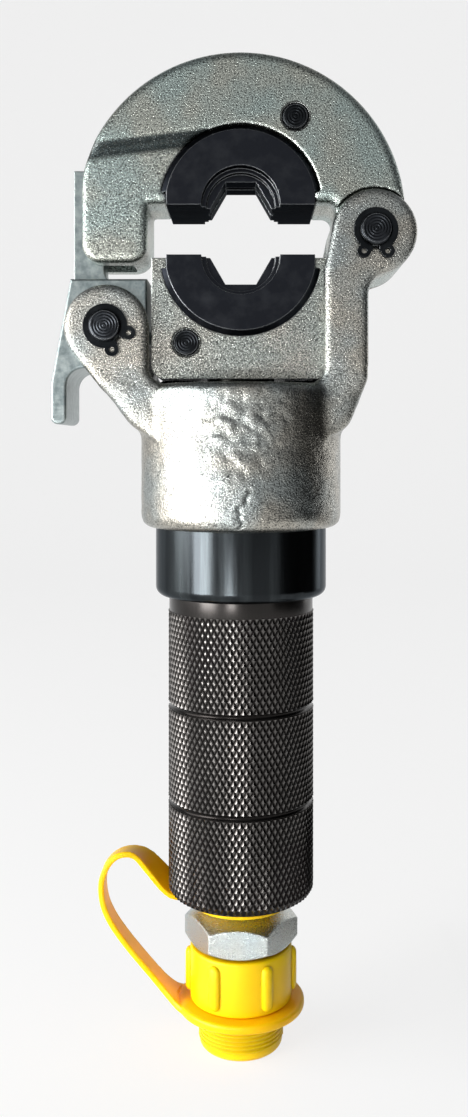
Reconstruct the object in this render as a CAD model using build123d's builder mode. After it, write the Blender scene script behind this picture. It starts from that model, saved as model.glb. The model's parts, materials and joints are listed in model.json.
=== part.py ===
from build123d import *
import os
from math import asin, atan2, cos, hypot, pi, sin, sqrt

# Pipe press head, in millimetres. Z runs up the ram axis from the end of the dust cap's plug,
# X runs from the latch to the hinge, and Y runs from the front of the fork to its back.

# Clearances
seat_gap = 0.02
run_gap = 0.05
side_gap = 0.4
round_gap = 0.3

# Dust cap and its tether
plug_radius = 13.9
plug_length = 12.3
plug_chamfer = 1.4
cap_neck_radius = 12.4
eye_radius = 20.7
eye_thickness = 3.0
cap_radius = 16.6
cap_length = 17.2
cap_floor = 3.0
cap_edge = 0.8
rib_count = 6
rib_width = 3.6
rib_height = 1.7
rib_length = 13.0
upper_eye_radius = 16.0
upper_eye_thickness = 2.6
strap_width = 8.8
strap_thickness = 1.9

# Hose coupler
cap_gap = 0.6
hex_across = 32.0
hex_height = 12.5
hex_turn = -3.0
hex_slope = 0.65
hex_edge = 0.6
nose_radius = 12.0
coupler_neck_radius = 11.0
coupler_neck_length = 3.6
port_radius = 8.4
port_length = 13.0
port_bore_radius = 4.0
seal_thickness = 1.2
poppet_chamber_radius = 7.5
poppet_mouth_radius = 5.0
poppet_seat_wall = 3.0
poppet_head_length = 5.5
poppet_stem_radius = 3.0
poppet_guide_thickness = 3.0
poppet_wire_radius = 0.55
poppet_turns = 4

# Handle and cylinder
handle_radius = 23.8
handle_length = 97.4
handle_round = 3.5
knurl_section = 31.0
handle_grooves = 2
groove_width = 1.4
groove_depth = 0.6
sleeve_overhang = 2.9
tube_radius = 21.0
bore_radius = 17.0
end_wall = 16.0
collar_radius = 27.8
collar_length = 22.1
collar_round = 3.0
thread_radius = 23.0
thread_length = 21.0

# Ram drive
stroke = 15.5
rod_radius = 11.0
piston_length = 18.0
piston_clearance = 3.0
piston_socket_radius = 8.0
piston_socket_depth = 12.0
ring_depth = 3.4
seal_width = 4.5
guide_ring_width = 3.5
gland_length = 30.0
wiper_radius = 14.5
wiper_height = 4.0
return_wire_radius = 2.0
return_turns = 9
spigot_radius = 8.0
spigot_length = 3.0
screw_radius = 4.0
screw_length = 16.0
screw_head_radius = 6.5
screw_head_height = 5.0
screw_web = 3.0
socket_across = 6.0
socket_depth = 3.0

# Yoke
barrel_radius = 32.65
barrel_length = 45.9
barrel_round = 4.0
bulge_round = 3.0
plate_half = 19.5
plate_thickness = 5.2
ear_radius = 13.3
forging_round = 2.2
root_round = 5.0
arm_outer = 40.0
arm_inner = 26.0
arm_bend = 12.0
shoulder_flare = 1.6
shoulder_low = 14.0
shoulder_reach = 23.0
shoulder_sink = 5.5
shoulder_high = 1.0
shoulder_round = 6.0
ear_neck_round = 7.0
pocket_round = 5.0
pin_radius = 5.0
pin_proud = 3.4
pin_chamfer = 0.6
clip_thickness = 1.2
clip_groove_depth = 0.35
clip_radius = 6.9
clip_lug_radius = 2.1
clip_lug_reach = 7.6
clip_lug_angle = 29.0
clip_hole_radius = 0.85
hinge_drop = 8.8
hinge_clip_turn = -90.0
latch_x = -42.0
latch_rise = 17.5
latch_clip_turn = -45.0

# Dies and their locks
die_radius = 25.4
die_half = 15.5
die_chamfer = 1.7
die_gap = 0.1
die_meeting_gap = 0.2
die_end = 23.4
die_step = 4.2
relief_radius = 12.4
relief_depth = 4.0
shoulder_bore_radius = 11.0
shoulder_depth = 2.5
press_across = 17.0
bead_radius = 10.4
bead_half = 1.8
lock_angle = 58.0
lock_radius_of_pin = 4.5
lock_tip_radius = 4.1
lock_lip = 1.2
lock_proud = 0.5
lock_waist_radius = 1.7
lock_waist_length = 5.6
lock_rear_length = 4.4
lock_edge = 0.8
lock_spring_length = 8.0
lock_wire_radius = 0.45
lock_turns = 5
ball_radius = 2.5

# Ram block
ram_half_width = 28.2
ram_height = 39.0
ram_rest_gap = 1.5
ram_round = 4.0
ram_wall_gap = 0.6
horn_drop = 0.8

# Upper jaw
jaw_radius = 52.1
jaw_centre_drop = 3.6
jaw_half = 16.0
jaw_round = 3.0
hinge_inset = 10.1
ceiling_rise = 0.9
leg_inset = 1.7
leg_inner = 29.5
leg_drop = 17.8
leg_round = 6.0
leg_edge_round = 2.2
step_outer_rise = 16.5
step_inner_rise = 21.5
step_inner_reach = 14.0
slot_inner = 34.5
slot_rise = 18.0
slot_round = 3.0
keeper_x = -40.0
keeper_drop = 3.0
keeper_radius = 4.0
keeper_cover = 3.0

# Latch lever
latch_hub_radius = 12.4
latch_top_rise = 15.6
latch_left = 53.8
arm_half = 6.0
hook_nose = 37.4
hook_height = 11.5
hook_slope = 4.0
arm_root_round = 4.0
finger_left = 60.0
finger_right = 55.1
finger_tip_drop = 30.3
finger_bend_drop = 17.5
finger_tip_round = 2.2
finger_root_drop = 12.8
finger_root_round = 5.5
latch_edge_round = 0.8
latch_spring_radius = 6.6
latch_wire_radius = 0.7
latch_turns = 3
latch_coil_pitch = 2.0
latch_leg_up = 10.0
latch_leg_down = 19.0
latch_web_x = 38.5

# Heights along the axis
groove_length = eye_thickness + side_gap
cap_low = plug_length + groove_length
cap_top = cap_low + cap_length
nose_low = cap_low + cap_floor + round_gap
hex_low = cap_top + cap_gap
hex_top = hex_low + hex_height
handle_low = hex_top + coupler_neck_length
handle_top = handle_low + handle_length
tube_low = handle_low + sleeve_overhang
chamber_low = tube_low + end_wall
collar_top = handle_top + collar_length
thread_top = collar_top + thread_length
floor = collar_top + barrel_length
piston_low = chamber_low + piston_clearance
piston_top = piston_low + piston_length
gland_low = thread_top - gland_length
ram_low = floor + ram_rest_gap
parting = ram_low + ram_height
closing = parting + stroke + die_meeting_gap
ceiling = closing + ceiling_rise
jaw_centre = closing - jaw_centre_drop
hinge_z = closing - hinge_drop
latch_z = floor + latch_rise
keeper_z = closing - keeper_drop
leg_low = closing - leg_drop

# Places across the axis
hinge_x = jaw_radius - hinge_inset
leg_outer = jaw_radius - leg_inset
pocket_left = latch_x + ear_radius

# Half widths of the layers of the fork, from its middle plane
plate_inner = plate_half - plate_thickness
middle_half = plate_inner - side_gap
latch_spring_half = latch_coil_pitch * latch_turns / 2 + 3 * latch_wire_radius
keeper_reach = middle_half - keeper_cover
lock_radius = die_radius + ball_radius + lock_radius_of_pin + 2 * run_gap
beyond = 4 * jaw_radius

# The two die seats face each other: each plane has the die's centre as origin and its own +Y into the die
upper_seat = Plane(origin=(0, 0, closing), x_dir=(1, 0, 0), z_dir=(0, -1, 0))
lower_seat = Plane(origin=(0, 0, parting), x_dir=(-1, 0, 0), z_dir=(0, -1, 0))


def tangent_point(point, centre, radius, side):
    """Where a line from a point touches a circle, on its left (1) or right (-1) side."""
    away = hypot(centre[0] - point[0], centre[1] - point[1])
    reach = sqrt(away**2 - radius**2)
    angle = atan2(centre[1] - point[1], centre[0] - point[0]) + side * asin(radius / away)
    return point[0] + reach * cos(angle), point[1] + reach * sin(angle)


def round_edges(builder, radius):
    """The circular edges of a part in progress that have a given radius."""
    circles = builder.edges().filter_by(GeomType.CIRCLE)
    return circles.filter_by(lambda edge: abs(edge.radius - radius) < seat_gap)


def corner(sketch, x, y):
    """The vertex of a sketch nearest to a point."""
    return sketch.vertices().sort_by_distance((x, y, 0))[0]


def wire_coil(plane, mean_radius, wire_radius, turns, pitch, leg_in=0.0, leg_out=0.0):
    """A wire wound about a plane's axis on two arcs for each half turn, with straight legs at its ends."""
    rise = pitch / (2 * pi)

    def place(angle):
        return plane.from_local_coords((mean_radius * cos(angle), mean_radius * sin(angle), rise * angle))

    def heading(angle):
        ahead = (-mean_radius * sin(angle), mean_radius * cos(angle), rise)
        return (plane.from_local_coords(ahead) - plane.origin).normalized()

    angles = [half * pi for half in range(2 * turns + 1)]
    with BuildPart() as wound:
        with BuildLine():
            if leg_in:
                Line(place(0) - heading(0) * leg_in, place(0))
            for near, far in zip(angles, angles[1:]):
                start, start_dir = place(near), heading(near)
                end, end_dir = place(far), heading(far)
                chord = end - start
                spread = 2 * (1 - start_dir.dot(end_dir))
                along = 2 * chord.dot(start_dir + end_dir)
                reach = (sqrt(along**2 + 4 * spread * chord.dot(chord)) - along) / (2 * spread)
                first, second = start + start_dir * reach, end - end_dir * reach
                middle = (first + second) * 0.5
                TangentArc(start, middle, tangent=start_dir)
                TangentArc(middle, end, tangent=second - first)
            if leg_out:
                Line(place(angles[-1]), place(angles[-1]) + heading(angles[-1]) * leg_out)
        with BuildSketch(Plane(origin=place(0) - heading(0) * leg_in, z_dir=heading(0))):
            Circle(wire_radius)
        sweep()
    points = [place(step * pi / 12) for step in range(24 * turns + 1)]
    pairs = [(a, b) for index, a in enumerate(points) for b in points[index + 12:]]
    least = min((a - b).length for a, b in pairs) - 2 * wire_radius
    print("least gap between turns", round(least, 2))
    return wound.part


def spring_between(plane, length, mean_radius, wire_radius, turns):
    """A compression spring that stands on a plane and reaches a seat at a given height over it."""
    pitch = (length - 2 * wire_radius - 2 * run_gap) / turns
    return wire_coil(plane.offset(wire_radius + run_gap), mean_radius, wire_radius, turns, pitch)


def die_outline(grow):
    """Half disc with a step at each end, grown by a clearance, drawn in the sketch in progress."""
    Circle(die_radius + grow)
    Rectangle(4 * die_radius, 2 * die_radius, align=(Align.CENTER, Align.MAX), mode=Mode.SUBTRACT)
    for side, align in ((-1, Align.MAX), (1, Align.MIN)):
        with Locations((side * (die_end + grow), 0)):
            Rectangle(die_radius, die_step - grow, align=(align, Align.MIN), mode=Mode.SUBTRACT)


def lock_point(seat, radius):
    """A point on the line from a die's centre to its lock pin."""
    turn = lock_angle * pi / 180
    return seat.from_local_coords((radius * cos(turn), radius * sin(turn), 0))


def lock_plane(seat, depth):
    """A plane square to a lock pin, at a given depth from the fork's middle towards the front."""
    point = lock_point(seat, lock_radius)
    return Plane(origin=(point.X, -depth, point.Z), x_dir=(1, 0, 0), z_dir=(0, -1, 0))


def press_die(seat):
    """One of the two dies, with its stepped bore and the dimple for its lock ball."""
    with BuildPart() as die:
        with BuildSketch(seat):
            die_outline(0)
        extrude(amount=die_half, both=True)
        chamfer(round_edges(die, die_radius), die_chamfer)
        with BuildSketch(seat):
            RegularPolygon(press_across / 2, 6, major_radius=False)
        extrude(amount=die_half, both=True, mode=Mode.SUBTRACT)
        with BuildSketch(seat):
            Circle(bead_radius)
        extrude(amount=bead_half, both=True, mode=Mode.SUBTRACT)
        steps = ((relief_radius, relief_depth), (shoulder_bore_radius, relief_depth + shoulder_depth))
        for radius, depth in steps:
            for level in (die_half, depth - die_half):
                with BuildSketch(seat.offset(level)):
                    Circle(radius)
                extrude(amount=-depth, mode=Mode.SUBTRACT)
        rim_point = lock_point(seat, die_radius)
        with BuildSketch(Plane(origin=rim_point, z_dir=seat.origin - rim_point)):
            Circle(ball_radius + run_gap)
        extrude(amount=ball_radius + run_gap, mode=Mode.SUBTRACT)
    return die.part


def lock_bore(seat, half):
    """The room of a lock pin behind its staked lip, and the passage of its ball."""
    inner = lock_point(seat, die_radius)
    with BuildPart() as bore:
        with BuildSketch(lock_plane(seat, half)):
            Circle(lock_tip_radius + run_gap)
        extrude(amount=-lock_lip)
        with BuildSketch(lock_plane(seat, half - lock_lip)):
            Circle(lock_radius_of_pin + run_gap)
        extrude(amount=-(half - lock_lip + lock_rear_length + lock_spring_length))
        with BuildSketch(Plane(origin=inner, z_dir=lock_point(seat, lock_radius) - inner)):
            Circle(ball_radius + run_gap)
        extrude(amount=lock_radius - die_radius, both=True)
    return bore.part


def lock_pin(seat, half):
    """A die release button: tip through the staked lip, body, waist for the ball and rear land."""
    front = half - lock_lip - run_gap
    with BuildPart() as pin:
        with BuildSketch(lock_plane(seat, -lock_rear_length)):
            Circle(lock_radius_of_pin)
        extrude(amount=front + lock_rear_length)
        with BuildSketch(lock_plane(seat, front)):
            Circle(lock_tip_radius)
        extrude(amount=lock_lip + run_gap + lock_proud)
        chamfer(pin.faces().sort_by(Axis.Y)[0].edges(), lock_edge / 2)
        with BuildSketch(lock_plane(seat, lock_edge)):
            Circle(lock_radius_of_pin)
            Circle(lock_waist_radius, mode=Mode.SUBTRACT)
        extrude(amount=lock_waist_length, mode=Mode.SUBTRACT)
    return pin.part


def lock_ball(seat):
    """The ball that a lock pin holds in the dimple of its die."""
    with BuildPart() as ball:
        with Locations(lock_point(seat, die_radius)):
            Sphere(ball_radius)
    return ball.part


def lock_spring(seat):
    """The spring behind a lock pin, from its rear land to the end of its hole."""
    start = lock_plane(seat, -lock_rear_length - lock_spring_length)
    return spring_between(start, lock_spring_length, lock_radius_of_pin / 2 + lock_wire_radius,
                          lock_wire_radius, lock_turns)


def clip_level(side):
    """Height of a circlip's groove over the middle plane, at the front (1) or the back (-1)."""
    return plate_half + run_gap if side > 0 else -plate_half - run_gap - clip_thickness


def cross_pin(x, z):
    """A plain pin through both ears, grooved at each end for its circlip."""
    half = plate_half + pin_proud
    with BuildPart() as pin:
        with BuildSketch(Plane.XZ):
            with Locations((x, z)):
                Circle(pin_radius)
        extrude(amount=half, both=True)
        chamfer(pin.faces().filter_by(Axis.Y).edges(), pin_chamfer)
        for side in (1, -1):
            with BuildSketch(Plane.XZ.offset(clip_level(side))):
                with Locations((x, z)):
                    Circle(pin_radius)
                    Circle(pin_radius - clip_groove_depth, mode=Mode.SUBTRACT)
            extrude(amount=clip_thickness, mode=Mode.SUBTRACT)
    return pin.part


def circlips(x, z, turn):
    """Two external circlips with drilled lugs, their gap turned to an angle from +X."""
    lugs = PolarLocations(clip_lug_reach, 2, -clip_lug_angle, 2 * clip_lug_angle, endpoint=True)
    with BuildPart() as clips:
        for side in (1, -1):
            with BuildSketch(Plane.XZ.offset(clip_level(side))):
                with Locations(Location((x, z), turn)):
                    Circle(clip_radius)
                    with Locations(*lugs.local_locations):
                        Circle(clip_lug_radius)
                    with Locations((clip_lug_reach, 0)):
                        Rectangle(2 * clip_lug_reach, clip_lug_radius, mode=Mode.SUBTRACT)
                    Circle(pin_radius - clip_groove_depth + seat_gap, mode=Mode.SUBTRACT)
                    with Locations(*lugs.local_locations):
                        Circle(clip_hole_radius, mode=Mode.SUBTRACT)
            extrude(amount=clip_thickness)
    return clips.part


# Yoke: a flat fork of two arms on a round barrel
shoulder_base = floor - shoulder_low - shoulder_sink
shoulder_left = (-barrel_radius - shoulder_flare, floor - shoulder_low)
shoulder_right = (barrel_radius + shoulder_flare, floor - shoulder_low)
ear_touch = tangent_point(shoulder_left, (latch_x, latch_z), ear_radius, 1)
arm_touch = tangent_point((arm_inner, hinge_z - arm_bend), (hinge_x, hinge_z), ear_radius, 1)
with BuildSketch(Plane.XZ) as fork:
    Polygon(
        (-shoulder_reach, shoulder_base), (shoulder_reach, shoulder_base), shoulder_right,
        (arm_outer, floor + shoulder_high), (arm_outer, hinge_z), (hinge_x, hinge_z), arm_touch,
        (arm_inner, hinge_z - arm_bend), (arm_inner, floor), (pocket_left, floor),
        (pocket_left, latch_z), (latch_x, latch_z), ear_touch, shoulder_left, align=None,
    )
    with Locations((hinge_x, hinge_z), (latch_x, latch_z)):
        Circle(ear_radius)
    fillet(corner(fork, arm_outer, floor + shoulder_high), shoulder_round)
    fillet([corner(fork, *shoulder_left), corner(fork, *shoulder_right)], shoulder_round)
    fillet(corner(fork, arm_outer, hinge_z - ear_radius), ear_neck_round)
    fillet([corner(fork, arm_inner, floor), corner(fork, pocket_left, floor)], pocket_round)

# The concave blends where the flat fork runs into the round barrel
blend_reach = sqrt((barrel_radius + root_round) ** 2 - (plate_half + root_round) ** 2)
blend_top = floor - bulge_round
with BuildPart() as blend:
    with BuildSketch(Plane.XY.offset(collar_top)) as section:
        Circle(barrel_radius)
        Rectangle(2 * blend_reach + root_round / 2, 2 * plate_half)
        roots = section.vertices().filter_by(lambda v: abs(hypot(v.X, v.Y) - barrel_radius) < run_gap)
        fillet(roots, root_round)
    extrude(amount=blend_top - collar_top)
    extrude(fork.sketch, amount=barrel_radius, both=True, mode=Mode.INTERSECT)
with BuildPart() as arms:
    extrude(fork.sketch, amount=plate_half, both=True)
    fillet(arms.faces().filter_by(Axis.Y).edges(), forging_round)
with BuildPart() as yoke:
    with BuildSketch(Plane.XY.offset(collar_top)):
        Circle(barrel_radius)
    extrude(amount=barrel_length)
    rims = yoke.edges().sort_by(Axis.Z)
    fillet(rims[0], barrel_round)
    fillet(rims[-1], bulge_round)
    add(blend.part)
    add(arms.part)
    with BuildSketch(Plane.XZ):
        with Locations((0, floor)):
            Rectangle(2 * (ram_half_width + ram_wall_gap), beyond, align=(Align.CENTER, Align.MIN))
        with Locations((-latch_web_x, floor - barrel_radius)):
            Rectangle(beyond, 2 * beyond, align=(Align.MAX, Align.MIN))
        with Locations((latch_x, latch_z)):
            Circle(ear_radius + round_gap)
        with Locations((hinge_x, hinge_z)):
            Circle(ear_radius + 2 * round_gap)
            Rectangle(2 * (ear_radius + 2 * round_gap), beyond, align=(Align.CENTER, Align.MIN))
    extrude(amount=plate_inner, both=True, mode=Mode.SUBTRACT)
    with BuildSketch(Plane.XZ):
        with Locations((hinge_x, hinge_z), (latch_x, latch_z)):
            Circle(pin_radius + seat_gap)
    extrude(amount=plate_half, both=True, mode=Mode.SUBTRACT)
    with BuildSketch(Plane.XY.offset(collar_top)):
        Circle(thread_radius + seat_gap)
    extrude(amount=thread_length, mode=Mode.SUBTRACT)
    with BuildSketch(Plane.XY.offset(thread_top)):
        Circle(rod_radius + round_gap)
    extrude(amount=barrel_length, mode=Mode.SUBTRACT)
    with BuildSketch(Plane.XY.offset(floor)):
        Circle(wiper_radius + seat_gap)
    extrude(amount=-wiper_height, mode=Mode.SUBTRACT)
    spring_slot = latch_x + latch_spring_radius + latch_wire_radius + run_gap
    with BuildSketch(Plane.XZ):
        with Locations((spring_slot, latch_z - latch_leg_down - round_gap)):
            Rectangle(latch_web_x + spring_slot, latch_leg_down, align=(Align.MAX, Align.MIN))
    extrude(amount=latch_spring_half, both=True, mode=Mode.SUBTRACT)

hinge_pin = cross_pin(hinge_x, hinge_z)
latch_pin = cross_pin(latch_x, latch_z)
hinge_circlips = circlips(hinge_x, hinge_z, hinge_clip_turn)
latch_circlips = circlips(latch_x, latch_z, latch_clip_turn)

# Upper jaw: a C forging with a knuckle at the hinge, a slotted leg at the latch and a thicker crown
with BuildSketch(Plane.XZ) as jaw_outline:
    with Locations((0, jaw_centre)):
        Circle(jaw_radius)
    with Locations((hinge_x, ceiling)):
        Rectangle(beyond, beyond, align=(Align.MAX, Align.MAX), mode=Mode.SUBTRACT)
    with Locations((hinge_x, hinge_z)):
        Rectangle(beyond, beyond, align=(Align.MIN, Align.MAX), mode=Mode.SUBTRACT)
        Circle(ear_radius)
    with Locations((-leg_inner, leg_low)):
        Rectangle(leg_outer - leg_inner, ceiling - leg_low, align=(Align.MAX, Align.MIN))
    with Locations((-leg_outer, leg_low)):
        Rectangle(beyond, 2 * beyond, align=(Align.MAX, Align.CENTER), mode=Mode.SUBTRACT)
    fillet([corner(jaw_outline, -leg_outer, leg_low), corner(jaw_outline, -leg_inner, leg_low)], leg_round)
    leg_top = jaw_centre + sqrt(jaw_radius**2 - leg_outer**2)
    fillet(corner(jaw_outline, -leg_outer, leg_top), jaw_radius / 2)
    fillet(corner(jaw_outline, hinge_x - ear_radius, ceiling), jaw_round)
    fillet(corner(jaw_outline, hinge_x + ear_radius, ceiling), leg_round)
with BuildSketch(Plane.XZ) as crown_outline:
    add(jaw_outline.sketch_local)
    Polygon(
        (-beyond, closing + step_outer_rise), (-leg_outer, closing + step_outer_rise),
        (-step_inner_reach, closing + step_inner_rise), (-step_inner_reach, leg_low / 2),
        (-beyond, leg_low / 2), align=None, mode=Mode.SUBTRACT,
    )
with BuildPart() as crown:
    extrude(crown_outline.sketch, amount=jaw_half, both=True)
    fillet(crown.faces().filter_by(Axis.Y).edges(), jaw_round)
with BuildPart() as upper_jaw:
    extrude(jaw_outline.sketch, amount=middle_half, both=True)
    fillet(upper_jaw.faces().filter_by(Axis.Y).edges(), leg_edge_round)
    add(crown.part)
    for level in (middle_half, -middle_half - jaw_half):
        with BuildSketch(Plane.XZ.offset(level)):
            with Locations((hinge_x, hinge_z)):
                Circle(ear_radius + 3 * round_gap)
        extrude(amount=jaw_half, mode=Mode.SUBTRACT)
    with BuildSketch(upper_seat):
        die_outline(die_gap)
    extrude(amount=jaw_half, both=True, mode=Mode.SUBTRACT)
    with BuildSketch(Plane.XZ) as slot:
        with Locations((-slot_inner, closing + slot_rise)):
            Rectangle(beyond, beyond, align=(Align.MAX, Align.MAX))
        fillet(corner(slot, -slot_inner, closing + slot_rise), slot_round)
    extrude(amount=arm_half + side_gap, both=True, mode=Mode.SUBTRACT)
    with BuildSketch(Plane.XZ):
        with Locations((hinge_x, hinge_z)):
            Circle(pin_radius + run_gap)
    extrude(amount=jaw_half, both=True, mode=Mode.SUBTRACT)
    with BuildSketch(Plane.XZ.offset(keeper_reach)):
        with Locations((keeper_x, keeper_z)):
            Circle(keeper_radius + seat_gap)
    extrude(amount=-keeper_reach - middle_half, mode=Mode.SUBTRACT)
    add(lock_bore(upper_seat, jaw_half), mode=Mode.SUBTRACT)

with BuildPart() as keeper_pin:
    with BuildSketch(Plane.XZ.offset(keeper_reach)):
        with Locations((keeper_x, keeper_z)):
            Circle(keeper_radius)
    extrude(amount=-keeper_reach - middle_half)

upper_die = press_die(upper_seat)
lower_die = press_die(lower_seat)
upper_lock_pin = lock_pin(upper_seat, jaw_half)
lower_lock_pin = lock_pin(lower_seat, middle_half)
upper_lock_ball = lock_ball(upper_seat)
lower_lock_ball = lock_ball(lower_seat)
upper_lock_spring = lock_spring(upper_seat)
lower_lock_spring = lock_spring(lower_seat)

# Latch lever: hub on its pin, arm with a hook over the keeper, finger tab below
arm_inner_face = keeper_x - keeper_radius - round_gap
hook_low = keeper_z + keeper_radius + round_gap
hook_top = hook_low + hook_height
finger_low = latch_z - finger_tip_drop
with BuildPart() as latch_lever:
    with BuildSketch(Plane.XZ) as lever:
        Polygon(
            (-latch_left, latch_z + latch_top_rise), (latch_x + latch_hub_radius, latch_z + latch_top_rise),
            (latch_x + latch_hub_radius, latch_z), (latch_x, latch_z - latch_hub_radius),
            (-finger_right, latch_z - finger_root_drop), (-finger_right, finger_low),
            (-finger_left, finger_low), (-finger_left, latch_z - finger_bend_drop), align=None,
        )
        with Locations((latch_x, latch_z)):
            Circle(latch_hub_radius)
        tips = [corner(lever, -finger_right, finger_low), corner(lever, -finger_left, finger_low)]
        fillet(tips, finger_tip_round)
        fillet(corner(lever, -finger_right, latch_z - finger_root_drop), finger_root_round)
    extrude(amount=middle_half, both=True)
    fillet(latch_lever.faces().filter_by(Axis.Y).edges(), latch_edge_round)
    with BuildSketch(Plane.XZ) as arm:
        Polygon(
            (-latch_left, latch_z), (arm_inner_face, latch_z), (arm_inner_face, hook_low),
            (-hook_nose, hook_low), (-hook_nose, hook_top - hook_slope),
            (arm_inner_face, hook_top), (-latch_left, hook_top), align=None,
        )
    extrude(amount=arm_half, both=True)
    roots_of_arm = latch_lever.edges().filter_by(Axis.Y).filter_by(
        lambda e: abs(e.center().X - arm_inner_face) < run_gap and e.center().Z < leg_low
    )
    fillet(roots_of_arm, arm_root_round)
    with BuildSketch(Plane.XZ):
        with Locations((latch_x, latch_z)):
            Circle(pin_radius + run_gap)
    extrude(amount=middle_half, both=True, mode=Mode.SUBTRACT)
    with BuildSketch(Plane.XZ):
        with Locations((latch_x, latch_z)):
            Circle(latch_spring_radius + latch_wire_radius + round_gap)
            with Locations((latch_spring_radius + latch_wire_radius + run_gap, 0)):
                channel = latch_leg_up + latch_wire_radius
                Rectangle(3 * latch_wire_radius, channel, align=(Align.MAX, Align.MIN))
            with Locations((pin_radius / 2, 0)):
                Rectangle(latch_hub_radius, latch_hub_radius + round_gap, align=(Align.MIN, Align.MAX))
    extrude(amount=latch_spring_half, both=True, mode=Mode.SUBTRACT)

coil_start = -latch_coil_pitch * latch_turns / 2
latch_spring = wire_coil(
    Plane(origin=(latch_x, coil_start, latch_z), x_dir=(1, 0, 0), z_dir=(0, 1, 0)),
    latch_spring_radius, latch_wire_radius, latch_turns, latch_coil_pitch, latch_leg_up, latch_leg_down,
)

# Ram block: carries the lower die between the arms
screw_seat = ram_low + spigot_length + screw_web
with BuildPart() as ram_block:
    with BuildSketch(Plane.XZ) as block:
        with Locations((0, ram_low)):
            Rectangle(2 * ram_half_width, ram_height - horn_drop, align=(Align.CENTER, Align.MIN))
        fillet(block.vertices().group_by(Axis.Y)[0], ram_round)
    extrude(amount=middle_half, both=True)
    with BuildSketch(lower_seat):
        die_outline(die_gap)
    extrude(amount=middle_half, both=True, mode=Mode.SUBTRACT)
    with BuildSketch(Plane.XY.offset(ram_low)):
        Circle(spigot_radius + seat_gap)
    extrude(amount=spigot_length, mode=Mode.SUBTRACT)
    with BuildSketch(Plane.XY.offset(ram_low)):
        Circle(screw_radius + seat_gap)
    extrude(amount=ram_height, mode=Mode.SUBTRACT)
    with BuildSketch(Plane.XY.offset(screw_seat)):
        Circle(screw_head_radius + round_gap)
    extrude(amount=ram_height, mode=Mode.SUBTRACT)
    add(lock_bore(lower_seat, middle_half), mode=Mode.SUBTRACT)

with BuildPart() as ram_screw:
    with BuildSketch(Plane.XY.offset(screw_seat)):
        Circle(screw_radius)
    extrude(amount=-screw_length)
    with BuildSketch(Plane.XY.offset(screw_seat)):
        Circle(screw_head_radius)
    extrude(amount=screw_head_height)
    with BuildSketch(Plane.XY.offset(screw_seat + screw_head_height)):
        RegularPolygon(socket_across / 2, 6, major_radius=False)
    extrude(amount=-socket_depth, mode=Mode.SUBTRACT)

with BuildPart() as piston_rod:
    with BuildSketch(Plane.XY.offset(piston_top)):
        Circle(rod_radius)
    extrude(amount=ram_low - piston_top)
    with BuildSketch(Plane.XY.offset(ram_low)):
        Circle(spigot_radius)
    extrude(amount=spigot_length)
    with BuildSketch(Plane.XY.offset(piston_top)):
        Circle(piston_socket_radius)
    extrude(amount=-piston_socket_depth)
    with BuildSketch(Plane.XY.offset(ram_low + spigot_length)):
        Circle(screw_radius + seat_gap)
    extrude(amount=-screw_length, mode=Mode.SUBTRACT)

# Piston with a seal groove and a guide ring groove
ring_inner = bore_radius - ring_depth
land = (piston_length - seal_width - guide_ring_width) / 3
seal_low = piston_low + land
guide_low = seal_low + seal_width + land
with BuildPart() as piston:
    with BuildSketch(Plane.XY.offset(piston_low)):
        Circle(bore_radius - run_gap)
    extrude(amount=piston_length)
    with BuildSketch(Plane.XY.offset(piston_top)):
        Circle(piston_socket_radius + seat_gap)
    extrude(amount=-piston_socket_depth, mode=Mode.SUBTRACT)
    for low, width in ((seal_low, seal_width), (guide_low, guide_ring_width)):
        with BuildSketch(Plane.XY.offset(low)):
            Circle(bore_radius)
            Circle(ring_inner - seat_gap, mode=Mode.SUBTRACT)
        extrude(amount=width, mode=Mode.SUBTRACT)


def bore_ring(low, width):
    """A ring that fills one groove of the piston."""
    with BuildPart() as ring:
        with BuildSketch(Plane.XY.offset(low)):
            Circle(bore_radius - run_gap / 2)
            Circle(ring_inner, mode=Mode.SUBTRACT)
        extrude(amount=width)
    return ring.part


piston_seal = bore_ring(seal_low, seal_width)
piston_guide_ring = bore_ring(guide_low, guide_ring_width)
return_spring = spring_between(
    Plane.XY.offset(piston_top), gland_low - piston_top,
    (rod_radius + bore_radius) / 2, return_wire_radius, return_turns,
)

with BuildPart() as rod_gland:
    with BuildSketch(Plane.XY.offset(gland_low)):
        Circle(bore_radius - seat_gap)
        Circle(rod_radius + run_gap, mode=Mode.SUBTRACT)
    extrude(amount=gland_length)

with BuildPart() as rod_wiper:
    with BuildSketch(Plane.XY.offset(floor - wiper_height)):
        Circle(wiper_radius)
        Circle(rod_radius + run_gap, mode=Mode.SUBTRACT)
    extrude(amount=wiper_height)

# Cylinder: tube inside the handle, collar, and thread up into the yoke
with BuildPart() as cylinder:
    with BuildSketch(Plane.XY.offset(tube_low)):
        Circle(tube_radius)
    extrude(amount=handle_top - tube_low)
    with BuildSketch(Plane.XY.offset(handle_top)):
        Circle(collar_radius)
    extrude(amount=collar_length)
    fillet(round_edges(cylinder, collar_radius).sort_by(Axis.Z)[0], collar_round)
    with BuildSketch(Plane.XY.offset(collar_top)):
        Circle(thread_radius)
    extrude(amount=thread_length)
    with BuildSketch(Plane.XY.offset(chamber_low)):
        Circle(bore_radius)
    extrude(amount=thread_top - chamber_low, mode=Mode.SUBTRACT)
    with BuildSketch(Plane.XY.offset(tube_low)):
        Circle(port_radius + seat_gap)
    extrude(amount=port_length, mode=Mode.SUBTRACT)
    with BuildSketch(Plane.XY.offset(tube_low)):
        Circle(port_bore_radius)
    extrude(amount=end_wall, mode=Mode.SUBTRACT)

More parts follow.
